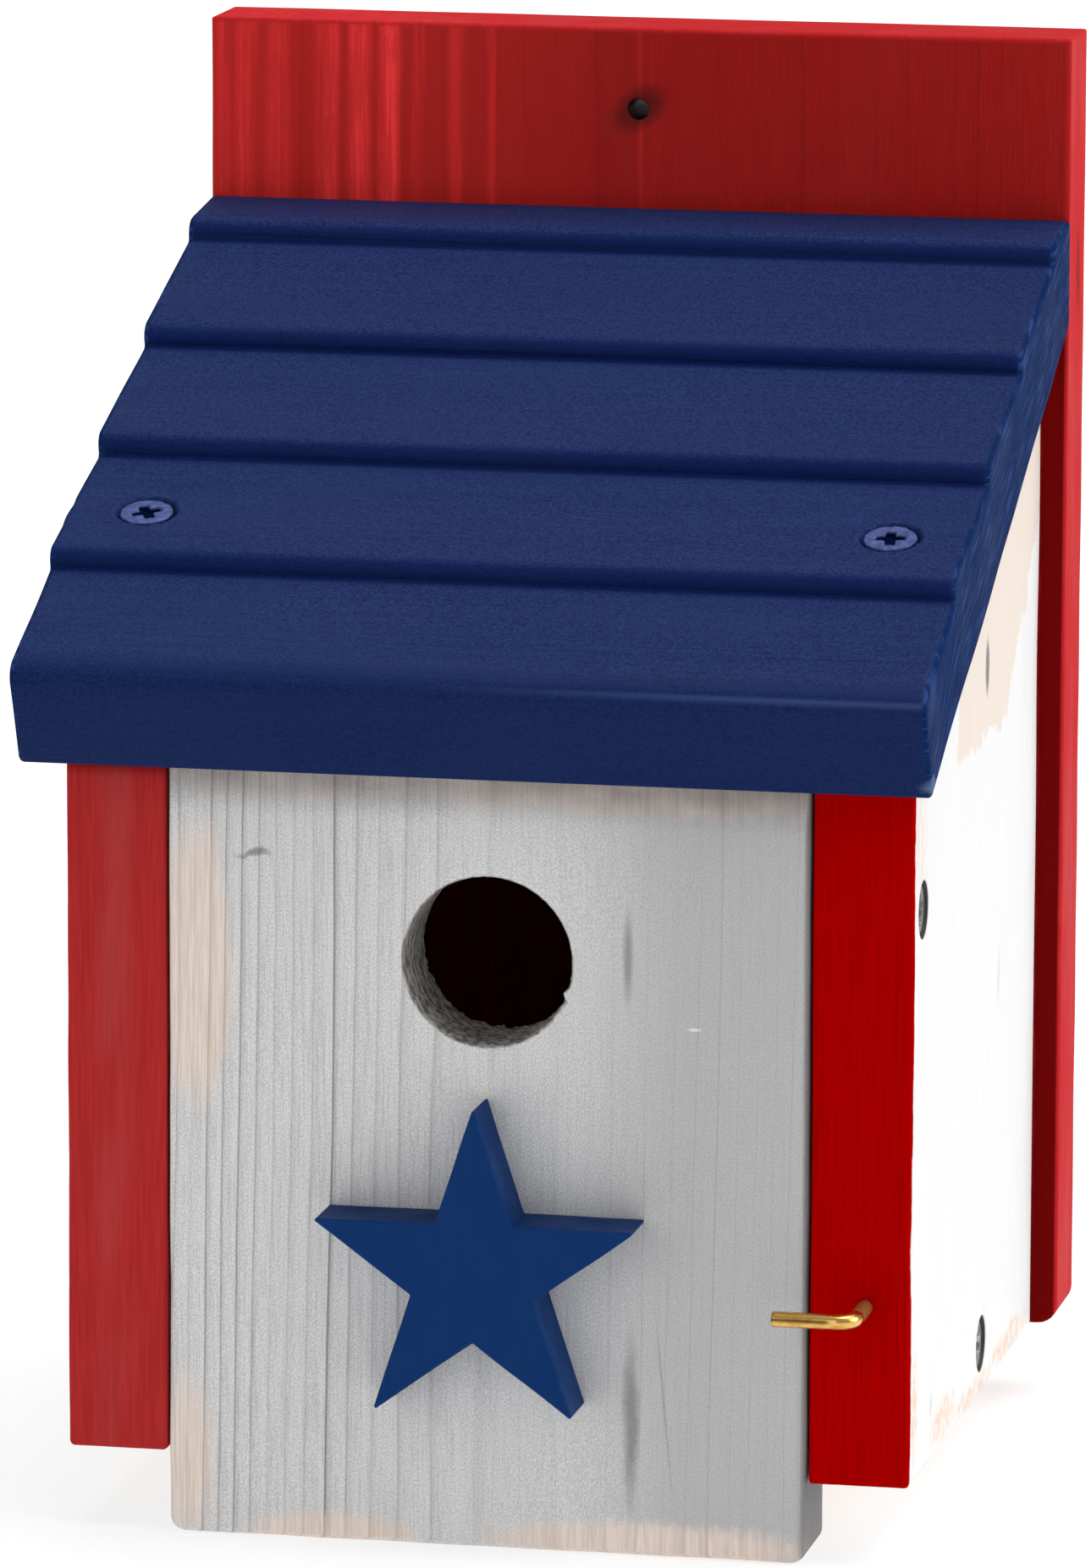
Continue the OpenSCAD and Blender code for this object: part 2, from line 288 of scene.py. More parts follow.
def outline(corners, radii, step, reach, fine_at=(), fine_reach=0.0, fine_step=1.0):
    """A closed outline with rounded corners, and the same one drawn in by
    reach, point for point. Drawn in, an outer corner's radius shrinks and an
    inner corner's grows. Points are a step apart, and closer near the places
    given."""
    corners = np.asarray(corners, float)
    radii = np.broadcast_to(radii, len(corners))
    ahead = unit(np.roll(corners, -1, 0) - corners)
    before = np.roll(ahead, 1, 0)
    outer = before[:, 0] * ahead[:, 1] - before[:, 1] * ahead[:, 0] > 0
    shrunk = np.where(outer, np.maximum(radii - reach, 0.05 * MM), radii + reach)
    full, drawn = rounded(corners, radii), rounded(corners - reach * outward(corners), shrunk)
    full, drawn = (np.vstack([loop, loop[:1]]) for loop in (full, drawn))
    along = np.concatenate([[0], np.cumsum(np.linalg.norm(np.diff(full, axis=0), axis=1))])

    def at(where, loop):
        return np.stack([np.interp(where, along, loop[:, k]) for k in (0, 1)], 1)

    extra = np.arange(0, along[-1], step)
    fine = np.arange(0, along[-1], fine_step)
    for place in fine_at:
        near = np.linalg.norm(at(fine, full) - place, axis=1) < fine_reach
        extra = np.concatenate([extra, fine[near]])
    room = min(step, fine_step) * 0.35
    extra = np.unique(extra)
    extra = extra[np.abs(extra[:, None] - along).min(1) > room]
    extra = extra[np.diff(extra, prepend=-1) > room]
    wanted = np.sort(np.concatenate([along[:-1], extra]))
    return at(wanted, full), at(wanted, drawn), reach


def outward(loop):
    """How a point of an anticlockwise outline moves when the outline grows by
    one: the two sides' normals added, over one plus their product."""
    ahead = unit(np.roll(loop, -1, 0) - loop)
    normal = np.stack([ahead[:, 1], -ahead[:, 0]], 1)
    before = np.roll(normal, 1, 0)
    return (normal + before) / (1 + (normal * before).sum(1))[:, None]


def within(points, loop):
    """Whether each point is inside the outline: a line from it to the right
    then crosses an odd number of sides."""
    start, end = loop, np.roll(loop, -1, 0)
    x, y = points[:, :1], points[:, 1:]
    crosses = (start[:, 1] > y) != (end[:, 1] > y)
    rise = end[:, 1] - start[:, 1]
    rise = np.where(rise == 0, 1e-12, rise)
    meets = start[:, 0] + (y - start[:, 1]) * (end[:, 0] - start[:, 0]) / rise
    return (crosses & (x < meets)).sum(1) % 2 == 1


def fill(outlines, step):
    """Triangles over the flat area inside the first outline and outside the
    rest, with points of its own on a staggered grid. Returns those points and
    the triangles, which number the outlines' points first."""
    rim = np.concatenate(outlines)
    low, high = outlines[0].min(0), outlines[0].max(0)
    rows, columns = np.mgrid[low[1]:high[1]:step * 0.866, low[0]:high[0]:step]
    shift = np.arange(len(rows))[:, None] % 2 * step / 2
    grid = np.stack([columns + shift, rows], -1).reshape(-1, 2)
    clear = np.linalg.norm(grid[:, None] - rim[None], axis=2).min(1) > step * 0.6
    grid = grid[clear & within(grid, outlines[0])]
    for hole in outlines[1:]:
        grid = grid[~within(grid, hole)]
    starts = np.cumsum([0] + [len(o) for o in outlines[:-1]])
    sides = np.concatenate([
        np.stack([np.arange(len(o)), np.roll(np.arange(len(o)), -1)], 1) + start
        for o, start in zip(outlines, starts)])
    points = np.concatenate([rim, grid])
    result = geometry.delaunay_2d_cdt(
        [Vector(p) for p in points.tolist()], sides.tolist(), [], 0, 1e-9, True)
    if len(result[0]) != len(points):
        raise RuntimeError("a board's face could not be filled")
    original = np.array([ids[0] for ids in result[3]])
    triangles = original[np.array(result[2])]
    middle = points[triangles].mean(1)
    keep = within(middle, outlines[0])
    for hole in outlines[1:]:
        keep &= ~within(middle, hole)
    return grid, triangles[keep]


class Skin:
    """The points and faces of one closed surface while it is being made, with
    how rubbed and how bare each point is."""

    def __init__(self):
        self.points, self.rub, self.bare, self.faces = [], [], [], []
        self.count = 0

    def add(self, points, rub=0.0, bare=0.0):
        """Takes points in any arrangement, and returns their numbers in it."""
        shape = points.shape[:-1]
        number = self.count + np.arange(int(np.prod(shape))).reshape(shape)
        self.count += number.size
        self.points.append(points.reshape(-1, 3))
        self.rub.append(np.broadcast_to(rub, shape).reshape(-1))
        self.bare.append(np.broadcast_to(bare, shape).reshape(-1))
        return number

    def face(self, corners, flip=False):
        """Takes faces as rows of point numbers."""
        self.faces.append(corners[:, ::-1] if flip else corners)

    def strips(self, number, flip=False):
        """Four-sided faces between rings, each ring closed on itself."""
        beside = np.roll(number, -1, 1)
        rows = [number[:-1], beside[:-1], beside[1:], number[1:]]
        self.face(np.stack(rows, -1).reshape(-1, 4), flip)

    def close(self, ring, centre, flip=False, rub=0.0, bare=0.0):
        """Three-sided faces from a ring to one point."""
        pole = self.add(np.asarray(centre, float)[None], rub, bare)
        middle = np.broadcast_to(pole, ring.shape)
        self.face(np.stack([ring, np.roll(ring, -1), middle], 1), flip)

    def all_points(self):
        return np.concatenate(self.points)


def board(skin, loops, low, high, edge, wear, seed, openings=(), stations=(), step=5 * MM):
    """A flat board. Its outline is carried over a quarter round at the low
    face, across the thickness and over a quarter round at the high face, then
    both faces are filled. The rounds' radius wavers along the edge. Each
    opening is (kind, rings), with kind through, low or high."""
    full, drawn, reach = loops
    turn = np.arange(len(full)) / len(full)
    radius = [edge * (1 + wear * wobble(turn, seed + k, 2, 14)) for k in (0, 1)]
    uneven = EDGE_RIPPLE * (1 + wobble(turn, seed + 2, 2, 30))
    arc = np.linspace(0, np.pi / 2, 5)
    inset, height, rub = [], [], []
    for side, start, sign in ((0, low, 1), (1, high, -1)):
        r = radius[side]
        ins = [r + 0.5 * edge] + [r * (1 - np.sin(a)) for a in arc] + [0 * r]
        hts = [0 * r] + [r * (1 - np.cos(a)) for a in arc] + [r + 0.7 * edge]
        rubs = EDGE_RUB
        hts = [start + sign * h for h in hts]
        if side:
            ins, hts, rubs = ins[::-1], hts[::-1], rubs[::-1]
            middle = [s for s in stations if low + 2.5 * edge < s < high - 2.5 * edge]
            inset += [0 * r] * len(middle)
            height += [s + 0 * r for s in middle]
            rub += [0.0] * len(middle)
        inset, height, rub = inset + ins, height + hts, rub + rubs
    inset, height = np.array(inset) + uneven, np.array(height)
    flat = full[None] + (inset / reach)[..., None] * (drawn - full)[None]
    rings = np.concatenate([flat, height[..., None]], -1)
    number = skin.add(rings, np.array(rub)[:, None])
    skin.strips(number)
    rims_at = {"low": [number[0]], "high": [number[-1]]}
    for kind, opening in openings:
        bare = np.ones(len(opening))
        bare[:2] = 0, 0.5
        if kind == "through":
            bare[-2:] = 0.5, 0
        inner = skin.add(opening, 0.0, bare[:, None])
        skin.strips(inner, flip=kind != "high")
        if kind == "through":
            rims_at["low"].append(inner[0])
            rims_at["high"].append(inner[-1])
        else:
            rims_at[kind].append(inner[0])
            skin.close(inner[-1], opening[-1].mean(0), kind == "low", bare=1.0)
    points = skin.all_points()
    for kind, level in (("low", low), ("high", high)):
        rims = rims_at[kind]
        grid, triangles = fill([points[r][:, :2] for r in rims], step)
        grid = np.column_stack([grid, np.full(len(grid), level)])
        ids = np.concatenate(rims + [skin.add(grid)])
        skin.face(ids[triangles], flip=kind == "low")


def bore(centre, radii, heights, count=40):
    """Rings round a hole's axis, one for each radius and height."""
    angle = np.arange(count) / count * TAU
    ring = np.stack([np.cos(angle), np.sin(angle)], -1)
    radii, heights = np.asarray(radii, float), np.asarray(heights, float)
    if radii.ndim == 1:
        radii, heights = radii[:, None], heights[:, None]
    flat = np.asarray(centre)[None, None] + radii[..., None] * ring[None]
    return np.concatenate([flat, np.broadcast_to(heights, flat.shape[:2])[..., None]], -1)


def sunk_hole(centre, face, inwards, width, depth=2.2 * MM):
    """A countersink: a soft lip, a short straight wall and a cone. inwards is 1
    when it goes up from a low face, and -1 when it goes down from a high one."""
    radius = width / 2
    radii = [radius + 0.5 * MM, radius + 0.15 * MM, radius, radius - 0.1 * MM, radius * 0.45]
    drop = [0, 0.08 * MM, 0.3 * MM, depth * 0.55, depth]
    kind = "low" if inwards > 0 else "high"
    return kind, bore(centre, radii, [face + inwards * d for d in drop])


def dip_faces(points, low, high, depth, seed):
    """Boards are never quite flat: the thickness shrinks by up to depth in slow
    lumps across the face."""
    middle, half = (low + high) / 2, (high - low) / 2
    share = depth / half * (0.5 + 0.5 * lumps(points[:, :2], 60 * MM, seed))
    points[:, 2] = middle + (points[:, 2] - middle) * (1 - np.clip(share, 0, 2 * depth / half))
    return points


def make_piece(name, skin, points, look, body, nodes):
    """Puts a finished skin into the scene as one piece on its CAD body."""
    mesh = bpy.data.meshes.new(name)
    sizes = np.concatenate([np.full(len(f), f.shape[1]) for f in skin.faces])
    corners = np.concatenate([f.reshape(-1) for f in skin.faces])
    mesh.vertices.add(len(points))
    mesh.vertices.foreach_set("co", points.astype(np.float32).ravel())
    mesh.loops.add(len(corners))
    mesh.loops.foreach_set("vertex_index", corners.astype(np.int32))
    mesh.polygons.add(len(sizes))
    starts = np.concatenate([[0], np.cumsum(sizes)[:-1]])
    mesh.polygons.foreach_set("loop_start", starts.astype(np.int32))
    mesh.polygons.foreach_set("use_smooth", np.ones(len(sizes), bool))
    mesh.update(calc_edges=True)
    if mesh.validate():
        raise RuntimeError(f"{name} has faults in its mesh")
    for label, values in (("rub", skin.rub), ("bare", skin.bare)):
        layer = mesh.attributes.new(label, "FLOAT", "POINT")
        layer.data.foreach_set("value", np.concatenate(values).astype(np.float32))
    mesh.materials.append(look)
    piece = bpy.data.objects.new(name, mesh)
    bpy.context.scene.collection.objects.link(piece)
    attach(piece, body)
    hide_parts(*nodes)


def box_of(node):
    """A CAD node's lowest and highest corner as arrays."""
    low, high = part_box(node)
    return np.array(low), np.array(high)


def rectangle(low, high):
    """The corners of an upright rectangle, anticlockwise."""
    return [[low[0], low[1]], [high[0], low[1]], [high[0], high[1]], [low[0], high[1]]]


# ------------------------------------------------------------------ finishes


class Finish:
    """A material while it is being mixed. Each method adds one node, or a few,
    and returns the result."""

    def __init__(self, name):
        self.material = bpy.data.materials.new(name)
        self.material.use_nodes = True
        self.tree = self.material.node_tree
        self.tree.nodes.clear()
        self.shader = self.tree.nodes.new("ShaderNodeBsdfPrincipled")
        output = self.tree.nodes.new("ShaderNodeOutputMaterial")
        self.tree.links.new(self.shader.outputs[0], output.inputs[0])
        self.here = self.tree.nodes.new("ShaderNodeTexCoord").outputs["Object"]

    def node(self, kind, inputs, **settings):
        """Any node, with its settings and its inputs by number or name."""
        node = self.tree.nodes.new("ShaderNode" + kind)
        for name, value in settings.items():
            setattr(node, name, value)
        for name, value in inputs.items():
            self.feed(node.inputs[name], value)
        return node

    def feed(self, socket, value):
        """Joins a result to a socket, or sets the socket's own value."""
        if isinstance(value, bpy.types.NodeSocket):
            self.tree.links.new(value, socket)
        else:
            socket.default_value = value

    def sum(self, operation, *values):
        """Arithmetic on numbers."""
        return self.node("Math", dict(enumerate(values)), operation=operation).outputs[0]

    def times(self, first, *others):
        """Numbers or masks multiplied together."""
        for other in others:
            first = self.sum("MULTIPLY", first, other)
        return first

    def most(self, first, *others):
        """The largest of several masks."""
        for other in others:
            first = self.sum("MAXIMUM", first, other)
        return first

    def less(self, mask, share):
        """Goes from 1 down to the share where the mask is 1."""
        return self.sum("MULTIPLY_ADD", mask, share - 1.0, 1.0)

    def part(self, axis, source=None):
        """One coordinate of the place."""
        return self.node("SeparateXYZ", {0: source or self.here}).outputs[axis]

    def aside(self):
        """The distance from the object's middle plane, to either side."""
        return self.sum("ABSOLUTE", self.part(0))

    def placed(self, at=(0, 0, 0), size=(1, 1, 1), turn=(0, 0, 0), source=None):
        """The place seen from another origin, measured in another size."""
        return self.node("Mapping", {"Vector": source or self.here, "Location": at,
                                     "Rotation": turn, "Scale": size},
                         vector_type="TEXTURE").outputs[0]

    def length(self, vector):
        return self.node("VectorMath", {0: vector}, operation="LENGTH").outputs["Value"]

    def noise(self, size, stretch=(1, 1, 1), detail=2.0, rough=0.5, source=None):
        """Noise of that size in metres, stretched along an axis."""
        scale = tuple(size * s for s in stretch)
        return self.node("TexNoise", {"Vector": self.placed(size=scale, source=source),
                                      "Scale": 1.0, "Detail": detail,
                                      "Roughness": rough}).outputs[0]

    def fibres(self, along, size=0.5 * MM, detail=4.0, reach=28):
        """Fine streaks along the grain."""
        stretch = [1, 1, 1]
        stretch[along] = reach
        return self.noise(size, tuple(stretch), detail, 0.6)

    def ragged(self, size, reach, stretch=(1, 1, 1)):
        """The place with a random shift, so that patches get ragged edges."""
        scale = tuple(size * s for s in stretch)
        colour = self.node("TexNoise", {"Vector": self.placed(size=scale),
                                        "Scale": 1.0, "Detail": 3.0}).outputs["Color"]
        shift = self.node("VectorMath", {0: colour, 1: (0.5, 0.5, 0.5)},
                          operation="SUBTRACT").outputs[0]
        shift = self.node("VectorMath", {0: shift, "Scale": 2 * reach},
                          operation="SCALE").outputs[0]
        return self.node("VectorMath", {0: self.here, 1: shift}, operation="ADD").outputs[0]

    def rise(self, value, low, high, top=1.0, bottom=0.0):
        """Goes softly from bottom to top as the value goes from low to high."""
        return self.node("MapRange", {0: value, 1: low, 2: high, 3: bottom, 4: top},
                         interpolation_type="SMOOTHSTEP").outputs[0]

    def ramp(self, value, *stops):
        """A scale of grey through the stops, as a number."""
        ramp = self.node("ValToRGB", {0: value})
        elements = ramp.color_ramp.elements
        while len(elements) < len(stops):
            elements.new(0.5)
        for element, (position, level) in zip(elements, stops):
            element.position = position
            element.color = (level, level, level, 1)
        return ramp.outputs[0]

    def mix(self, share, first, second):
        """Two colours mixed."""
        colours = [(*c, 1) if isinstance(c, tuple) and len(c) == 3 else c
                   for c in (first, second)]
        return self.node("Mix", {0: share, 6: colours[0], 7: colours[1]},
                         data_type="RGBA").outputs[2]

    def lay(self, base, top, mask, share=None):
        """A colour laid over the base where the mask is, as strongly as the
        share."""
        return self.mix(mask if share is None else self.times(mask, share), base, top)

    def spot(self, at, size, soft=0.4, turn=(0, 0, 0), source=None):
        """A patch round a place, one inside and none outside its size."""
        away = self.length(self.placed(at, size, turn, source))
        return self.rise(away, 1 + soft, 1 - soft)

    def bands(self, value, places, soft):
        """One inside bands given as (middle, half width), none between them."""
        return self.most(*(
            self.rise(self.sum("ABSOLUTE", self.sum("SUBTRACT", value, middle)),
                      half + soft, half - soft)
            for middle, half in places))

    def painted(self, name):
        """How much of the piece's own attribute there is here."""
        return self.node("Attribute", {}, attribute_name=name).outputs["Fac"]

    def rubbed(self, size, low, high):
        """The rubbed edges, broken up by noise of that size."""
        return self.times(self.painted("rub"), self.rise(self.noise(size, detail=3.0), low, high))

    def bump(self, height, distance):
        """Relief of that height in metres."""
        return self.node("Bump", {"Height": height, "Distance": distance}).outputs[0]

    def rings(self, pith, along, gap, waver=0.5, lean=(0, 0, 0), later=0.0):
        """Growth rings: the distance from the pith, counted in ring gaps and
        wavered a little. Early wood is 0 and the thin late wood rises to 1.
        Each ring has its own strength. later moves the lines by that share of
        a gap."""
        size, stretch = [1, 1, 1], [1, 1, 1]
        size[along], stretch[along] = 1000, 7
        away = self.length(self.placed(pith, tuple(size), lean))
        sway = self.noise(16 * MM, tuple(stretch), 1.0)
        count = self.sum("MULTIPLY_ADD", sway, waver, self.sum("DIVIDE", away, gap))
        count = self.sum("SUBTRACT", count, later) if later else count
        ring = self.ramp(self.sum("FRACT", count), (0.0, 0.0), (0.55, 0.1), (0.85, 0.5),
                         (0.94, 1.0), (1.0, 0.0))
        own = self.node("TexWhiteNoise", {"W": self.sum("FLOOR", count)},
                        noise_dimensions="1D").outputs[0]
        return self.times(ring, self.rise(own, 0.0, 1.0, 1.0, 0.35))

    def set(self, **values):
        """Sets or joins the shader's sockets, named with underscores."""
        for name, value in values.items():
            self.feed(self.shader.inputs[name.replace("_", " ")], value)


def colour(value, scale=1.0):
    """A colour made lighter or darker."""
    return tuple(min(1.0, v * scale) for v in value)


def tint(value, red, green, blue):
    """A colour with each of its three parts made stronger or weaker."""
    return tuple(v * s for v, s in zip(value, (red, green, blue)))


def bare_wood_colour(finish, wood, ring, fibre):
    """Pale softwood: darker late wood and streaks."""
    body = finish.mix(finish.rise(fibre, 0.3, 0.75), colour(wood, 1.08), colour(wood, 0.78))
    return finish.lay(body, tint(wood, 0.62, 0.45, 0.33), ring, 0.6)


def red_back_paint(colours, sizes):
    """Thin red paint: bright upright bands at the left where it is thinnest,
    painted shadow beside the right wall, lighter red on the right and top
    faces as painted light, and a dark stain round the mounting hole."""
    f = Finish("red_paint")
    red = tuple(colours.red)
    low, high = box_of("back_board")
    front, right, top = low[1], high[0], high[2]
    ring = f.rings((12 * MM, 38 * MM, 0), 2, 3.1 * MM, 0.9)
    fibre = f.fibres(2)
    grain = f.rise(fibre, 0.3, 0.7)

    x = f.part(0, f.ragged(5 * MM, 0.9 * MM, (1, 1, 7)))
    streaks = f.rise(f.noise(1.3 * MM, (1, 1, 30), 4.0, 0.7), 0.36, 0.6)
    mottle = f.rise(f.noise(3.5 * MM, (1, 1, 3), 4.0, 0.7), 0.34, 0.56)
    broken = f.sum("MULTIPLY_ADD", f.times(streaks, mottle), 0.65, 0.5)
    towards_left = f.rise(f.part(0), -44 * MM, -72 * MM, 0.4, 1)
    thin = f.times(f.bands(x, BACK_THIN_BANDS, 1.1 * MM), broken, towards_left)
    faint = f.times(f.bands(x, BACK_FAINT_BANDS, 0.6 * MM),
                    f.sum("MULTIPLY_ADD", streaks, 0.4, 0.2))
    base = f.mix(grain, colour(red, 0.92), colour(red, 1.14))
    base = f.lay(base, tint(red, 1.45, 2.4, 2.4), f.rise(f.part(0), 15 * MM, -60 * MM), 0.8)
    base = f.lay(base, tint(red, 2.2, 4.0, 4.0), faint)
    base = f.lay(base, RED_THIN, thin)
    base = f.lay(base, colour(red, 0.6), ring, 0.28)
    dull = f.spot((-4 * MM, front, 0), (5 * MM, 40 * MM, 200 * MM), 0.5)
    base = f.lay(base, colour(red, 0.5), dull, 0.15)

    # Painted light: the right and top faces are a lighter red, streaked by the grain, where the
    # side and top light falls.
    edge = f.most(f.rise(f.part(0), right - 1.4 * MM, right - 0.4 * MM),
                  f.rise(f.part(2), top - 1.4 * MM, top - 0.4 * MM))
    base = f.lay(base, f.mix(grain, RED_LIT_SIDE, RED_LIT_SIDE_DARK), edge, 0.85)
    knot = f.spot((right, front + 11 * MM, -30 * MM), (9 * MM, 2 * MM, 8 * MM), 0.5,
                  source=f.ragged(4 * MM, 1.5 * MM, (1, 1, 3)))
    base = f.lay(base, RED_KNOT, knot, 0.6)
    # Painted shadow: the front face low down beside the right wall is painted dark, as if the
    # wall shades it.
    wall_shadow = f.times(
        f.rise(f.part(0, f.ragged(3 * MM, 0.5 * MM, (1, 1, 2))), 79.2 * MM, 80.2 * MM),
        f.rise(f.part(2), -30 * MM, -38 * MM),
        f.rise(f.part(0), right - 0.5 * MM, right - 1.0 * MM),
        f.rise(f.part(1), front + 1.2 * MM, front + 0.5 * MM))
    base = f.lay(base, RED_WALL_SHADOW, wall_shadow, 0.93)
    stain = f.spot((0, front, 0), (5.4 * MM, 60 * MM, 3.2 * MM), 0.5, (0, np.radians(-35), 0),
                   source=f.ragged(3 * MM, 1.3 * MM))
    base = f.lay(base, RED_STAIN, stain, 0.7)
    base = f.lay(base, RED_RUBBED, f.rubbed(7 * MM, 0.45, 0.62), 0.3)
    base = f.lay(base, RED_INSIDE_HOLES, f.rise(f.painted("bare"), 0.3, 0.9))

    relief = f.sum("MULTIPLY_ADD", ring, -0.5, f.times(fibre, 0.5))
    f.set(Base_Color=base,
          Roughness=f.rise(f.noise(14 * MM, (1, 1, 3), 2.0), 0.3, 0.7, 0.62, 0.44),
          Specular_IOR_Level=f.times(f.less(f.most(wall_shadow, edge), 0.15), 0.08),
          Normal=f.bump(relief, sizes.grain_depth))
    return f.material


def wall_edge_red(f, side, red, fibre, ring, foot):
    """The red of a wall's front edge. The right edge is clean and deep; the
    left one is paler and blotchy, with a painted shadow under the eave."""
    grain = f.rise(fibre, 0.3, 0.7)
    if side == "right":
        tone = f.mix(grain, STRIP_RED, STRIP_RED_DARK)
    else:
        tone = f.mix(grain, srgb(178, 48, 48), srgb(164, 40, 40))
        sway = f.part(0, f.ragged(14 * MM, 2.5 * MM, (1, 1, 3)))
        blotch = f.times(f.bands(sway, ((-70.5 * MM, 3.2 * MM),), 2.6 * MM),
                         f.rise(f.noise(8 * MM, (1, 1, 4), 3.0), 0.3, 0.62))
        tone = f.lay(tone, srgb(172, 74, 76), blotch, 0.32)
        # Painted shadow: the top of the left edge is painted dark where the eave shades it.
        eave_shadow = f.rise(f.part(2), foot + 127 * MM, foot + 131 * MM)
        tone = f.lay(tone, srgb(104, 6, 10), eave_shadow)
    return f.lay(tone, colour(red, 0.8), ring, 0.12)


def white_wall_paint(colours, sizes, side):
    """White paint outside, red on the front edge, bare wood inside, with a few
    thin and rubbed places."""
    f = Finish(f"white_paint_{side}_wall")
    white, red, wood = tuple(colours.white), tuple(colours.red), tuple(colours.wood)
    sign = -1 if side == "left" else 1
    low, high = box_of(f"{side}_side")
    inner, outer = sorted((abs(low[0]), abs(high[0])))
    front, foot = low[1], low[2]
    ring = f.rings((sign * 15 * MM, -62 * MM, 0), 2, 2.7 * MM, 0.9)
    fibre = f.fibres(2)
    rough = f.ragged(5 * MM, 2.4 * MM, (1, 1, 2))

    def patch(back, up, half_depth, half_height, soft=0.5, source=rough):
        """A patch on the outer face, so many millimetres back and up."""
        return f.spot((sign * outer, front + back * MM, foot + up * MM),
                      (9 * MM, half_depth * MM, half_height * MM), soft, source=source)

    base = f.mix(f.rise(fibre, 0.35, 0.7), colour(white, 1.0), colour(white, 0.96))
    base = f.lay(base, colour(white, 0.8), ring, 0.05)
    torn = f.ragged(5 * MM, 5 * MM, (1, 1, 1.4))
    back, up = f.sum("SUBTRACT", f.part(1, torn), front), f.sum("SUBTRACT", f.part(2, torn), foot)
    under_roof = f.times(
        f.rise(back, 45 * MM, 46.5 * MM), f.rise(up, 127 * MM, 128 * MM),
        f.rise(f.sum("MULTIPLY_ADD", up, -1.15, back), -45.5 * MM, -47 * MM))
    thin = f.most(*(patch(*place) for place in WALL_WORN_PLACES),
                  f.times(patch(6, 120, 6, 10, 0.8), 0.6))
    tan = f.mix(f.rise(f.noise(2.5 * MM, detail=3.0), 0.4, 0.6), WALL_TAN, WALL_TAN_DARK)
    base = f.lay(base, WALL_UNDER_ROOF, under_roof, 0.95)
    base = f.lay(base, tan, thin, 0.7)
    # Dark marks. The first, high and far back, stands for a small screw recess that is not built,
    # and its dark is painted shade.
    marks = f.most(patch(79, 140.6, 2.0, 5.0, 0.4, f.ragged(2 * MM, 0.4 * MM)),
                   f.times(patch(96, 78, 1.0, 5.0, 0.6, f.here), 0.25),
                   f.times(patch(22.7, 10.8, 0.5, 2.2, 0.6, f.here), 0.5))
    base = f.lay(base, WALL_MARK, marks, 0.85)

    y = f.part(1, f.ragged(2.5 * MM, 0.35 * MM, (1, 1, 2)))
    near_panel = f.rise(f.aside(), inner + 1.5 * MM, inner + MM, 1.8 * MM)
    on_edge = f.rise(f.sum("SUBTRACT", y, near_panel), front + 0.75 * MM, front + 0.45 * MM)
    base = f.lay(base, wall_edge_red(f, side, red, fibre, ring, foot), on_edge)
    inside = f.times(f.rise(f.aside(), inner + 0.9 * MM, inner + 0.6 * MM),
                     f.less(on_edge, 0.0))
    base = f.lay(base, bare_wood_colour(f, wood, ring, fibre), inside)
    base = f.lay(base, WALL_INSIDE_HOLES, f.rise(f.painted("bare"), 0.4, 1.0))

    relief = f.sum("MULTIPLY_ADD", ring, -0.5, f.times(fibre, 0.5))
    f.set(Base_Color=base,
          Roughness=f.rise(f.noise(12 * MM, (1, 1, 3)), 0.3, 0.7, 0.66, 0.5),
          Specular_IOR_Level=f.times(f.less(on_edge, 0.0), 0.15),
          Normal=f.bump(relief, sizes.grain_depth * 0.7))
    return f.material


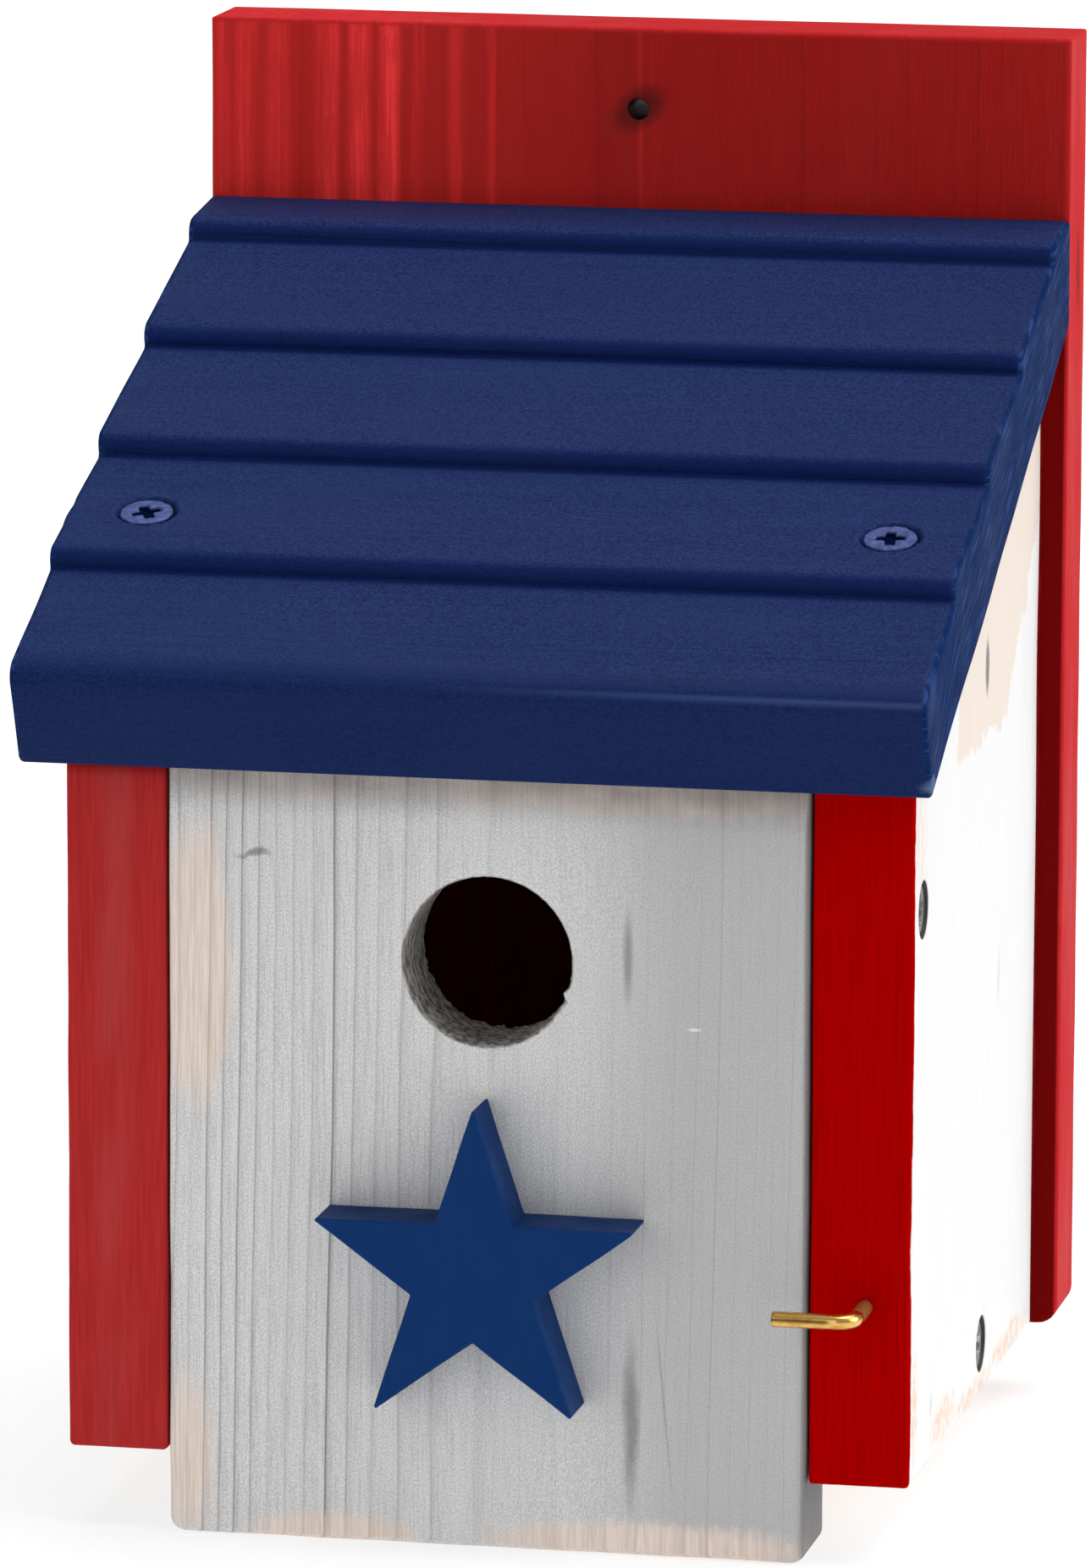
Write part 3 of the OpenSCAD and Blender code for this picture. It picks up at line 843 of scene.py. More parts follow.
def white_panel_paint(colours, sizes):
    """Greyish whitewash over upright grain that shows as thin grey lines, close
    together at the left and gone at the right, with tan worn places, a band of
    painted shadow under the eave and painted shade on the right side face."""
    f = Finish("white_paint_panel")
    wood = tuple(colours.wood)
    low, high = box_of("front_panel")
    front, bottom, right = low[1], low[2], high[0]
    grain = dict(pith=(9 * MM, front + 48 * MM, 0), along=2, gap=2.35 * MM, waver=0.7,
                 lean=(0, np.radians(0.8), 0))
    ring, beside = f.rings(**grain), f.rings(**grain, later=0.3)
    fibre = f.fibres(2, 0.35 * MM, 4.0, 30)
    speck = f.noise(0.3 * MM, (1, 1, 1.4), 2.0, 0.8)
    x, up = f.part(0), f.part(2)
    rough = f.ragged(5 * MM, 2.6 * MM, (1, 1, 4))

    def patch(across, height, half_width, half_height, soft=0.5, source=rough, turn=0.0):
        """A patch on the front face, so many millimetres right and up."""
        return f.spot((across * MM, front, bottom + height * MM),
                      (half_width * MM, 9 * MM, half_height * MM), soft,
                      (0, np.radians(turn), 0), source)

    shown = f.rise(x, 28 * MM, -6 * MM, 1.0, 0.06)
    base = f.mix(f.rise(x, 6 * MM, 40 * MM), PANEL_LEFT, PANEL_RIGHT)
    base = f.lay(base, PANEL_SPECK, f.rise(speck, 0.38, 0.62), 0.55)
    base = f.lay(base, PANEL_FIBRE, f.rise(fibre, 0.42, 0.72),
                 f.rise(x, 30 * MM, -20 * MM, 0.3, 0.12))
    base = f.lay(base, PANEL_BESIDE_LINE, beside, f.times(shown, 0.35))
    base = f.lay(base, PANEL_LINE, f.sum("POWER", ring, 1.7), f.times(shown, 0.95))

    torn = f.ragged(2.2 * MM, 2.0 * MM, (1, 1, 1.4))
    thin = f.most(
        patch(-55, 108, 6.5, 25, 0.3), patch(-57, 14, 5, 14, 0.5),
        patch(-29, 1.5, 15, 3.6, 0.4, torn), patch(31, 2, 29, 4.2, 0.4, torn),
        f.times(patch(26, 143, 40, 3.6, 0.6, torn), 0.7),
        f.times(patch(-34, 143, 28, 3.0, 0.6, torn), 0.5))
    tan = f.mix(f.rise(fibre, 0.3, 0.7), PANEL_TAN, PANEL_TAN_DARK)
    base = f.lay(base, f.lay(tan, PANEL_TAN_LINE, ring, 0.55), thin, 0.85)
    marks = f.most(
        patch(-43.8, 129.3, 2.9, 0.65, 0.6),
        f.times(patch(26.4, 112.5, 0.8, 7, 0.7, f.here), 0.8),
        f.times(patch(27.3, 25, 1.2, 13, 0.7, f.ragged(6 * MM, 1.0 * MM)), 0.9),
        f.times(patch(33.5, 29.5, 0.22, 15, 0.5, f.here, -5.5), 0.45))
    base = f.lay(base, PANEL_MARK, marks, 0.62)
    base = f.lay(base, PANEL_CHIP, patch(38.8, 99.8, 1.1, 0.28, 0.6, f.here), 0.7)

    # A band of painted shadow under the eave, broken up by noise, and painted shade on the right
    # side face and along the lower right edge, in the gap by the wall.
    eave_shadow_band = f.times(f.rise(up, bottom + 136 * MM, bottom + 144 * MM),
                    f.rise(f.noise(5 * MM, (2, 1, 1), 3.0), 0.2, 0.7, 0.55, 0.38))
    side = f.most(
        f.times(f.rise(x, right - 1.5 * MM, right - 0.5 * MM), 0.62),
        f.times(f.rise(x, right - 2.5 * MM, right),
                f.rise(up, bottom + 90 * MM, bottom + 20 * MM, 0.3)))
    base = f.lay(base, PANEL_SHADE, f.most(eave_shadow_band, side))
    behind = f.rise(f.part(1), high[1] - 0.9 * MM, high[1] - 0.5 * MM)
    base = f.lay(base, bare_wood_colour(f, wood, ring, fibre), behind)
    sawn = f.mix(f.rise(f.noise(1.2 * MM, (1, 1, 3), 3.0), 0.35, 0.65),
                 HOLE_PALE, HOLE_DARK)
    base = f.lay(base, sawn, f.rise(f.painted("bare"), 0.2, 0.9))

    relief = f.sum("MULTIPLY_ADD", ring, -0.6, f.times(fibre, 0.4))
    f.set(Base_Color=base,
          Roughness=f.rise(f.noise(12 * MM, (1, 1, 3)), 0.3, 0.7, 0.78, 0.62),
          Specular_IOR_Level=0.1, Normal=f.bump(relief, sizes.grain_depth))
    return f.material


def blue_roof_paint(colours, sizes):
    """Navy paint with a slight bloom on the courses, painted shade in each notch,
    painted shade near the eave, a painted highlight along its top front edge
    and streaky end grain."""
    f = Finish("blue_paint")
    blue = tuple(colours.blue)
    right = box_of("roof_board")[1][0]
    ring = f.rings((0, -60 * MM, -150 * MM), 0, 3.4 * MM, 0.9)
    fibre = f.fibres(0, reach=18)
    speck = f.noise(0.42 * MM, (1.5, 1, 1), 2.0, 0.8)
    tilt = f.placed((0, *roof_place(0, 0)), turn=(ROOF_SLOPE, 0, 0))
    run, rise = f.times(f.part(1, tilt), -1.0), f.part(2, tilt)
    ends = f.rise(f.aside(), right - 1.3 * MM, right - 0.5 * MM)
    not_ends = f.less(ends, 0.0)

    base = f.mix(f.rise(speck, 0.38, 0.62), colour(blue, 0.5), tint(blue, 2.0, 1.55, 1.45))
    brushed = f.rise(f.noise(0.9 * MM, (40, 1, 1), 3.0, 0.7), 0.42, 0.68)
    base = f.lay(base, tint(blue, 2.4, 1.8, 1.6), brushed, 0.22)
    scratch = f.bands(run, ((ROOF_RUN - 13.5 * MM, 0.25 * MM),), 0.4 * MM)
    base = f.lay(base, colour(blue, 0.4), scratch,
                 f.rise(f.noise(12 * MM, (2, 1, 1)), 0.35, 0.6, 0.5))
    bloom = f.rise(f.noise(30 * MM, (2, 1, 1)), 0.35, 0.7)
    base = f.lay(base, tint(blue, 1.4, 1.15, 1.12), bloom, 0.3)
    base = f.lay(base, colour(blue, 0.6), ring, 0.18)
    steps = ROOF_FIRST_STEP + ROOF_STEP_PITCH * np.arange(ROOF_STEPS)
    # Painted shade: dark lines along each notch, where the lip above shades it.
    notch_shade = f.times(
        f.bands(run, [(step - 0.4 * MM, 1.5 * MM) for step in steps], 0.9 * MM),
        f.rise(rise, ROOF_NOTCH_RISE - 2 * MM, ROOF_NOTCH_RISE - MM), not_ends)
    base = f.lay(base, NOTCH_SHADE_BLUE, notch_shade, 0.75)
    # Painted shade: the last few millimetres to the eave, front face included, are darker, as if
    # less lit than the courses.
    eave = f.rise(run, ROOF_RUN - 8 * MM, ROOF_RUN - 3 * MM)
    base = f.lay(base, f.mix(0.6, base, EAVE_SHADE_BLUE), eave, not_ends)

    sag = f.sum("POWER", f.rise(run, ROOF_RUN - 46 * MM, ROOF_RUN), 2.0)
    bent = f.node("CombineXYZ", {0: 0.0, 1: f.times(run, 0.06),
                                 2: f.sum("MULTIPLY_ADD", sag, 13 * MM, rise)}).outputs[0]
    end_grain = f.rise(f.noise(0.75 * MM, detail=2.0, rough=0.6, source=bent), 0.5, 0.64)
    base = f.lay(base, f.mix(f.times(end_grain, 0.6), END_BLUE, END_BLUE_PALE), ends)
    base = f.lay(base, RUBBED_BLUE, f.rubbed(6 * MM, 0.5, 0.66), 0.25)
    # Painted highlight: a pale line along the eave's top front edge, fading in towards the right.
    arris_highlight = f.times(f.bands(run, ((ROOF_RUN - 1.2 * MM, 0.3 * MM),), 0.5 * MM), not_ends,
                    f.rise(f.part(0), -20 * MM, 60 * MM))
    base = f.lay(base, ARRIS_HIGHLIGHT_BLUE, arris_highlight,
                 f.rise(rise, ROOF_NOTCH_RISE - 3 * MM, ROOF_NOTCH_RISE - 2 * MM, 0.4))
    chip = f.spot((right, *roof_place(ROOF_RUN - 2 * MM, ROOF_UNDER_RISE + 2.2 * MM)),
                  (3.0 * MM, 2.6 * MM, 1.6 * MM), 0.4, source=f.ragged(2 * MM, 1.0 * MM))
    base = f.lay(base, CHIPPED_BLUE, chip, 0.6)

    relief = f.sum("MULTIPLY_ADD", ring, -0.3,
                   f.sum("MULTIPLY_ADD", fibre, 0.4, f.times(speck, 0.25)))
    f.set(Base_Color=base,
          Roughness=f.rise(f.noise(16 * MM, (3, 1, 1)), 0.3, 0.7, 0.7, 0.54),
          Specular_IOR_Level=f.times(f.less(ends, 0.12), 0.07),
          Normal=f.bump(relief, sizes.grain_depth))
    return f.material


def blue_star_paint(colours, sizes):
    """Two coats of navy on a sawn star, slightly brushed, with its edges paler
    as wear and as a painted highlight.
    """
    f = Finish("star_paint")
    blue = tuple(colours.star)
    fibre = f.fibres(2, 0.6 * MM, reach=14)
    speck = f.noise(0.6 * MM, (1, 1, 1.5), 2.0, 0.7)
    base = f.mix(f.rise(fibre, 0.3, 0.7), colour(blue, 0.98), colour(blue, 1.06))
    base = f.lay(base, colour(blue, 0.85), f.rise(speck, 0.3, 0.75), 0.12)
    # Paler edges: partly wear, partly a painted highlight along the edges.
    base = f.lay(base, tint(blue, 2.4, 2.0, 1.6), f.rubbed(4 * MM, 0.45, 0.62), 0.3)
    relief = f.sum("MULTIPLY_ADD", fibre, 0.5, f.times(speck, 0.3))
    f.set(Base_Color=base, Roughness=f.rise(f.noise(9 * MM), 0.3, 0.7, 0.6, 0.42),
          Specular_IOR_Level=0.06, Normal=f.bump(relief, sizes.grain_depth * 0.7))
    return f.material


def bare_wood(colours, sizes):
    """Planed softwood with rings along the width."""
    f = Finish("bare_wood")
    ring = f.rings((0, -78 * MM, -280 * MM), 0, 3.2 * MM, 0.9)
    fibre = f.fibres(0)
    base = bare_wood_colour(f, tuple(colours.wood), ring, fibre)
    stain = f.rise(f.noise(25 * MM, detail=3.0), 0.5, 0.72)
    base = f.lay(base, WOOD_STAIN, stain, 0.35)
    relief = f.sum("MULTIPLY_ADD", ring, 0.6, f.times(fibre, 0.4))
    f.set(Base_Color=base, Roughness=f.rise(fibre, 0.3, 0.7, 0.78, 0.62),
          Specular_IOR_Level=0.25, Normal=f.bump(relief, sizes.grain_depth))
    return f.material


def smudges(f):
    """Where fingers and weather have dulled metal."""
    return f.rise(f.noise(2.2 * MM, detail=4.0), 0.35, 0.68)


def scratches(f, depth):
    """Fine scratches of that depth."""
    return f.bump(f.noise(0.35 * MM, (6, 1, 1), 3.0, 0.7), depth)


def bare_zinc(colours):
    """Zinc-plated steel with smudges, darker in its recesses."""
    f = Finish("zinc")
    smudge = smudges(f)
    base = f.mix(smudge, tuple(colours.zinc), colour(colours.zinc, 0.55))
    # The cross recesses are painted darker.
    base = f.lay(base, RECESS_DARK, f.rise(f.painted("bare"), 0.3, 1.0), 0.5)
    f.set(Base_Color=base, Metallic=1.0,
          Roughness=f.sum("MULTIPLY_ADD", smudge, 0.18, 0.32), Normal=scratches(f, 0.02 * MM))
    return f.material


def bright_brass(colours, rod, level, bend_x, bend_y):
    """Polished brass, with a painted dark reflection along the arm, and duller on
    the shank behind the bend."""
    f = Finish("brass")
    brass = tuple(colours.brass)
    smudge = smudges(f)
    base = f.mix(smudge, brass, tint(brass, 0.72, 0.62, 0.46))
    # A painted reflection: a dark band along the upper side of the arm, as if it mirrored
    # something dark.
    up = f.part(2, f.ragged(1.5 * MM, 0.12 * MM, (4, 1, 1)))
    dark_reflection = f.times(f.bands(up, ((level + 0.12 * rod, 0.26 * rod),), 0.26 * rod),
                     f.rise(f.part(0), bend_x, bend_x - 2 * MM))
    base = f.lay(base, BRASS_REFLECTION, dark_reflection, 0.9)
    shank = f.rise(f.part(1), bend_y, bend_y + 2 * MM)
    base = f.lay(base, BRASS_DULL, shank, 0.75)
    f.set(Base_Color=base, Metallic=f.less(shank, 0.5),
          Roughness=f.rise(smudge, 0, 1, 0.34, 0.2), Normal=scratches(f, 0.015 * MM))
    return f.material


def painted_screw():
    """Screw heads painted over with the roof, paler where the steel shows, and
    with painted shade in the cross recesses.
    """
    f = Finish("painted_screw")
    smear = f.rise(f.noise(1.6 * MM, detail=4.0, rough=0.6), 0.35, 0.65)
    # Painted shade: the cross recess is painted dark navy.
    recess = f.rise(f.painted("bare"), 0.2, 0.6)
    base = f.lay(f.mix(smear, SCREW_PALE_BLUE, SCREW_BLUE), RECESS_SHADE_BLUE, recess)
    f.set(Base_Color=base, Roughness=f.rise(smear, 0, 1, 0.6, 0.42),
          Specular_IOR_Level=f.times(f.less(recess, 0.0), 0.3),
          Normal=f.bump(f.noise(0.8 * MM, detail=3.0), 0.12 * MM))
    return f.material


# -------------------------------------------------------------------- pieces


def settings(context):
    """The sizes and colours that the user set."""
    return context.scene.birdhouse_sizes, context.scene.birdhouse_colours


def board_piece(name, node, axes, corners, radii, low, high, look, body, slot, seed, sizes,
                openings=(), edge=1.0, stations=(), shape=None, step=5 * MM, spacing=4 * MM,
                **fine):
    """One board: built flat in its own axes, then turned to where it goes."""
    edge = edge * sizes.edge_round
    loops = outline(corners, radii, spacing, 2.2 * edge + 0.2 * MM, **fine)
    skin = Skin()
    board(skin, loops, low, high, edge, sizes.edge_wear, seed, openings, stations, step)
    points = dip_faces(skin.all_points(), low, high, sizes.face_waver, seed + 5)
    if shape is not None:
        points = shape(points)
    make_piece(name, skin, points @ axes, look, body, [node])


class BIRDHOUSE_OT_back_board(Operator):
    """Make the red back board with its mounting hole and sunk screw holes"""

    bl_idname = "birdhouse.back_board"
    bl_label = "Back Board"

    def execute(self, context):
        sizes, colours = settings(context)
        low, high = box_of("back_board")
        thick = high[1] - low[1]
        flat = rectangle((low[0], low[2]), (high[0], high[2]))
        hole = 2.0 * MM
        lip = 0.35 * MM
        mounting = bore((0, 0), [hole + lip * 1.6, hole + 0.3 * lip, hole, hole, hole + 0.3 * lip,
                                 hole + lip * 1.6],
                        [0, 0.3 * lip, lip, thick - lip, thick - 0.3 * lip, thick])
        openings = [("through", mounting)]
        for place in screw_places():
            if place["drives"] == "forwards":
                at = place["head"]
                openings.append(sunk_hole((at[0], at[2]), 0, 1, sizes.countersink * 0.93))
        board_piece("red_back_board", "back_board", FACING_FRONT, flat,
                    np.array([4, 4, 0.6, 0.6]) * MM, 0, thick,
                    red_back_paint(colours, sizes), "house", "red_paint", 11, sizes,
                    openings, edge=0.6)
        return {"FINISHED"}


class BIRDHOUSE_OT_side_walls(Operator):
    """Make the two side walls, cut to the roof's slope along the top"""

    bl_idname = "birdhouse.side_walls"
    bl_label = "Side Walls"

    def execute(self, context):
        sizes, colours = settings(context)
        for number, side in enumerate(("left", "right")):
            low, high = box_of(f"{side}_side")
            depth = high[1] - low[1]
            front_top = high[2] - depth * np.tan(ROOF_SLOPE)
            flat = [[low[1], low[2]], [high[1], low[2]], [high[1], high[2]], [low[1], front_top]]
            outer, inwards = (high[0], -1) if side == "right" else (low[0], 1)
            openings = [
                sunk_hole((p["head"][1], p["head"][2]), outer, inwards, sizes.countersink)
                for p in screw_places() if p["drives"] == "inwards" and p["side"] == side]
            board_piece(f"white_{side}_wall", f"{side}_side", FACING_SIDE, flat, 1 * MM,
                        low[0], high[0], white_wall_paint(colours, sizes, side), "house",
                        "white_paint", 31 + 10 * number, sizes, openings)
        return {"FINISHED"}


class BIRDHOUSE_OT_floor_board(Operator):
    """Make the floor board, with its corners cut off to let water out"""

    bl_idname = "birdhouse.floor_board"
    bl_label = "Floor Board"

    cut: FloatProperty(name="Corner cut", description="Length cut off each side of a corner",
                       default=9 * MM, min=3 * MM, max=15 * MM, unit="LENGTH", subtype="DISTANCE")

    def execute(self, context):
        sizes, colours = settings(context)
        low, high = box_of("floor_board")
        c = self.cut
        flat = [[low[0] + c, low[1]], [high[0] - c, low[1]], [high[0], low[1] + c],
                [high[0], high[1] - c], [high[0] - c, high[1]], [low[0] + c, high[1]],
                [low[0], high[1] - c], [low[0], low[1] + c]]
        board_piece("bare_floor_board", "floor_board", FACING_UP, flat, 0.6 * MM, low[2], high[2],
                    bare_wood(colours, sizes), "house", "bare_wood", 51, sizes)
        return {"FINISHED"}


class BIRDHOUSE_OT_front_panel(Operator):
    """Make the front panel with its torn entrance hole"""

    bl_idname = "birdhouse.front_panel"
    bl_label = "Front Panel"

    entrance: FloatProperty(name="Entrance width", description="Diameter of the entrance hole",
                            default=31.75 * MM, min=25 * MM, max=40 * MM, unit="LENGTH",
                            subtype="DISTANCE")
    height: FloatProperty(name="Entrance height", description="Its centre above the walls' foot",
                          default=95.6 * MM, min=70 * MM, max=110 * MM, unit="LENGTH",
                          subtype="DISTANCE")

    def execute(self, context):
        sizes, colours = settings(context)
        low, high = box_of("front_panel")
        foot = box_of("left_side")[0][2]
        inner, outer = -high[1], -low[1]
        flat = rectangle((low[0], low[2]), (high[0], high[2]))
        rings = self.entrance_rings(inner, outer, foot + self.height, sizes)
        board_piece("white_front_panel", "front_panel", FACING_FRONT, flat, 3 * MM, inner, outer,
                    white_panel_paint(colours, sizes), "door", "white_paint", 61, sizes,
                    [("through", rings)], edge=1.2, step=4 * MM)
        return {"FINISHED"}

    def entrance_rings(self, inner, outer, centre_height, sizes):
        """Rings from the inner face to the outer one. The radius is the hole's,
        plus a round lip outside, plus a torn flare inside that is deepest along
        the lower half, less a few fibres that stand up from the wall."""
        radius = self.entrance / 2
        share = np.linspace(0, 1, 30)
        count = 160
        turn = np.arange(count) / count
        lower = ease(0.5 - 0.9 * np.sin(TAU * turn))
        uneven = 0.45 + 0.35 * wobble(turn, 71, 3, 9) + 0.3 * wobble(turn, 72, 15, 40)
        torn = np.clip(sizes.tear * lower * uneven, 0.25 * MM, None)
        depth = (outer - inner) * ease(share)[:, None] + inner
        above = np.clip((depth - inner) / torn[None], 0, 1)
        flare = (1 - above) ** 2 * torn * 0.8
        lip = 0.55 * MM
        near = np.clip(1 - (outer - depth) / lip, 0, 1)
        lip_out = lip * (1 - np.sqrt(1 - near ** 2))

        def hump(middle, width):
            """A soft hump at that share of a turn."""
            return np.exp(-((turn - middle) / width) ** 2)

        chip = hump(0.945, 0.008) - 0.7 * hump(0.93, 0.006)
        frayed = 0.35 * MM * wobble(turn, 73, 20, 60) * hump(0.9, 0.05)
        splinters = (frayed - 0.8 * MM * chip) * np.clip(1 - (outer - depth) / (2.5 * MM), 0, 1)
        where = np.stack([np.broadcast_to(turn * TAU * radius, depth.shape[:1] + turn.shape),
                          np.broadcast_to(depth, depth.shape[:1] + turn.shape) * 0.35], -1)
        fibres = lumps(where, 1.5 * MM, 74) * (0.10 + 0.28 * lower) * MM
        fibres *= ease((outer - depth) / (1.2 * MM))
        radii = radius + flare + lip_out + splinters - np.abs(fibres)
        radii[0] = radius + torn * 0.8 + 0.4 * MM
        radii[-1] = radii[-2] + 0.35 * MM
        heights = np.broadcast_to(depth, radii.shape).copy()
        return bore((0, centre_height), radii, heights, count)


class BIRDHOUSE_OT_roof_board(Operator):
    """Make the roof board, milled with four courses"""

    bl_idname = "birdhouse.roof_board"
    bl_label = "Roof Board"

    def execute(self, context):
        sizes, colours = settings(context)
        low, high = box_of("roof_board")
        corners, radii = self.section()
        screws = [p for p in screw_places() if p["drives"] == "roof"]
        places = [p["head"][1:] for p in screws[:1]]
        across = [np.arange(low[0], high[0], 3 * MM)]
        across += [p["head"][0] + np.arange(-8, 8.01, 0.5) * MM for p in screws]
        across = np.unique(np.round(np.concatenate(across), 6))
        across = across[np.diff(across, prepend=-1) > 0.3 * MM]

        def sink_screws(points):
            """Round each screw the surface drops into a ragged cup, with the
            paint standing up a little round it."""
            for number, screw in enumerate(screws):
                axis = np.array([screw["axis"][1], screw["axis"][2], screw["axis"][0]])
                head = np.array([screw["head"][1], screw["head"][2], screw["head"][0]])
                away = points - head
                above = away @ axis
                flat = away - above[:, None] * axis
                reach = np.linalg.norm(flat, axis=1)
                angle = np.arctan2(flat[:, 0], flat[:, 2]) / TAU
                uneven = (0.07 if number == 0 else 0.03) * wobble(angle, 81 + number, 2, 12)
                rim = 5.15 * MM * (1 + uneven)
                cup = ease(1 - (reach - rim) / (0.9 * MM))
                ridge = np.exp(-((reach - rim - 1.1 * MM) / (0.7 * MM)) ** 2)
                near = (np.abs(above) < 3 * MM) & (reach < 9 * MM)
                lift = np.where(near, 0.18 * MM * ridge - 1.8 * MM * cup, 0)
                points = points + lift[:, None] * axis
            return points

        board_piece("blue_roof_board", "roof_board", FACING_SIDE, corners, radii, low[0], high[0],
                    blue_roof_paint(colours, sizes), "house", "blue_paint", 91, sizes,
                    stations=across.tolist(), shape=sink_screws, spacing=2.4 * MM,
                    fine_at=places, fine_reach=8 * MM, fine_step=0.5 * MM)
        return {"FINISHED"}

    def section(self):
        """The milled section's corners and their radii, anticlockwise as seen
        from the right: along the courses to the eave, and back underneath."""
        lips = ROOF_FIRST_STEP + ROOF_STEP_PITCH * np.arange(ROOF_STEPS)
        rate = (ROOF_LIP_RISE - ROOF_NOTCH_RISE) / (ROOF_STEP_PITCH - ROOF_STEP_DEPTH)
        tops = np.full(ROOF_STEPS, ROOF_LIP_RISE + rate * ROOF_STEP_DEPTH)
        first_rate = (ROOF_LIP_RISE - ROOF_BACK_RISE) / (ROOF_FIRST_STEP - ROOF_STEP_DEPTH)
        tops[0] = ROOF_LIP_RISE + first_rate * ROOF_STEP_DEPTH * 0.6
        feet = np.full(ROOF_STEPS, ROOF_NOTCH_RISE)
        steps = np.stack([np.repeat(lips, 2), np.stack([tops, feet], 1).ravel()], 1)
        plumb = np.tan(ROOF_SLOPE)
        flat = np.vstack([
            [[-ROOF_BACK_RISE * plumb, ROOF_BACK_RISE]], steps,
            [[ROOF_RUN, ROOF_NOTCH_RISE], [ROOF_RUN, ROOF_UNDER_RISE],
             [-ROOF_UNDER_RISE * plumb, ROOF_UNDER_RISE]]])
        radii = np.array([0.3] + [3.3, 0.3] * ROOF_STEPS + [4.0, 1.0, 0.3]) * MM
        return roof_place(flat[:, 0], flat[:, 1]), radii


def roof_place(run, rise):
    """Where a point of the roof's section is: run is the distance down the
    slope, and rise is square to it."""
    back = box_of("back_board")[0][1]
    top = box_of("left_side")[0][2] + ROOF_TOP_HEIGHT
    cos, sin = np.cos(ROOF_SLOPE), np.sin(ROOF_SLOPE)
    return np.stack([back - run * cos - rise * sin, top - run * sin + rise * cos], -1)


class BIRDHOUSE_OT_star(Operator):
    """Make the five-pointed star on the front panel"""

    bl_idname = "birdhouse.star"
    bl_label = "Star Ornament"

    def execute(self, context):
        sizes, colours = settings(context)
        low, high = box_of("star_ornament")
        radius = (high[0] - low[0]) / 2 / np.cos(np.radians(18))
        centre = np.array([(low[0] + high[0]) / 2, high[2] - radius])
        angle = np.radians(90 + 36 * np.arange(10))
        valley = radius * np.sin(np.radians(18)) / np.sin(np.radians(54))
        reach = np.where(np.arange(10) % 2 == 0, radius, valley)
        corners = centre + reach[:, None] * np.stack([np.cos(angle), np.sin(angle)], 1)
        radii = np.where(np.arange(10) % 2 == 0, 0.35 * MM, 0.5 * MM)
        board_piece("blue_star", "star_ornament", FACING_FRONT, corners, radii, -high[1], -low[1],
                    blue_star_paint(colours, sizes), "door", "star_paint", 101, sizes,
                    edge=0.45, step=2.5 * MM, spacing=1.6 * MM)
        return {"FINISHED"}


# ---------------------------------------------------------- screws and hook


def screw_places():
    """Every wood screw: its node, the middle of its head, the way its head
    faces and its sizes, worked out from the CAD nodes' boxes."""
    places = []

    def add(node, head, axis, drives, length, side="", width=WALL_SCREW_HEAD,
            shank=WALL_SCREW_SHANK, paint=False):
        places.append({"node": node, "head": np.array(head), "axis": np.array(axis, float),
                       "drives": drives, "side": side, "width": width, "shank": shank,
                       "length": length, "paint": paint})

    for side, sign in (("left", -1), ("right", 1)):
        for kind in ("pivot", "floor"):
            node = f"{kind}_screw_{side}"
            low, high = box_of(node)
            middle = (low + high) / 2
            head = [high[0] if sign > 0 else low[0], middle[1], middle[2]]
            add(node, head, (sign, 0, 0), "inwards", high[0] - low[0], side)
    half = WALL_SCREW_HEAD / 2
    for node, along in (("back_side_screws_left", 2), ("back_side_screws_right", 2),
                        ("back_floor_screws", 0), ("back_roof_screws", 0)):
        low, high = box_of(node)
        for end in (low[along] + half, high[along] - half):
            head = (low + high) / 2
            head[along] = end
            head[1] = high[1]
            add(node, head, (0, 1, 0), "forwards", high[1] - low[1])
    run = ROOF_FIRST_STEP + (2 + ROOF_SCREW_SHARE) * ROOF_STEP_PITCH
    course = np.arctan2(ROOF_LIP_RISE - ROOF_NOTCH_RISE, ROOF_STEP_PITCH - ROOF_STEP_DEPTH)
    rise = ROOF_NOTCH_RISE + ROOF_SCREW_SHARE * ROOF_STEP_PITCH * np.tan(course)
    tilt = ROOF_SLOPE - course
    y, z = roof_place(run, rise)
    for side in ("left", "right"):
        low, high = box_of(f"roof_screw_{side}")
        add(f"roof_screw_{side}", [(low[0] + high[0]) / 2, y, z],
            (0, -np.sin(tilt), np.cos(tilt)), "roof", ROOF_SCREW_LENGTH, side,
            ROOF_SCREW_HEAD, ROOF_SCREW_SHANK, True)
    return places


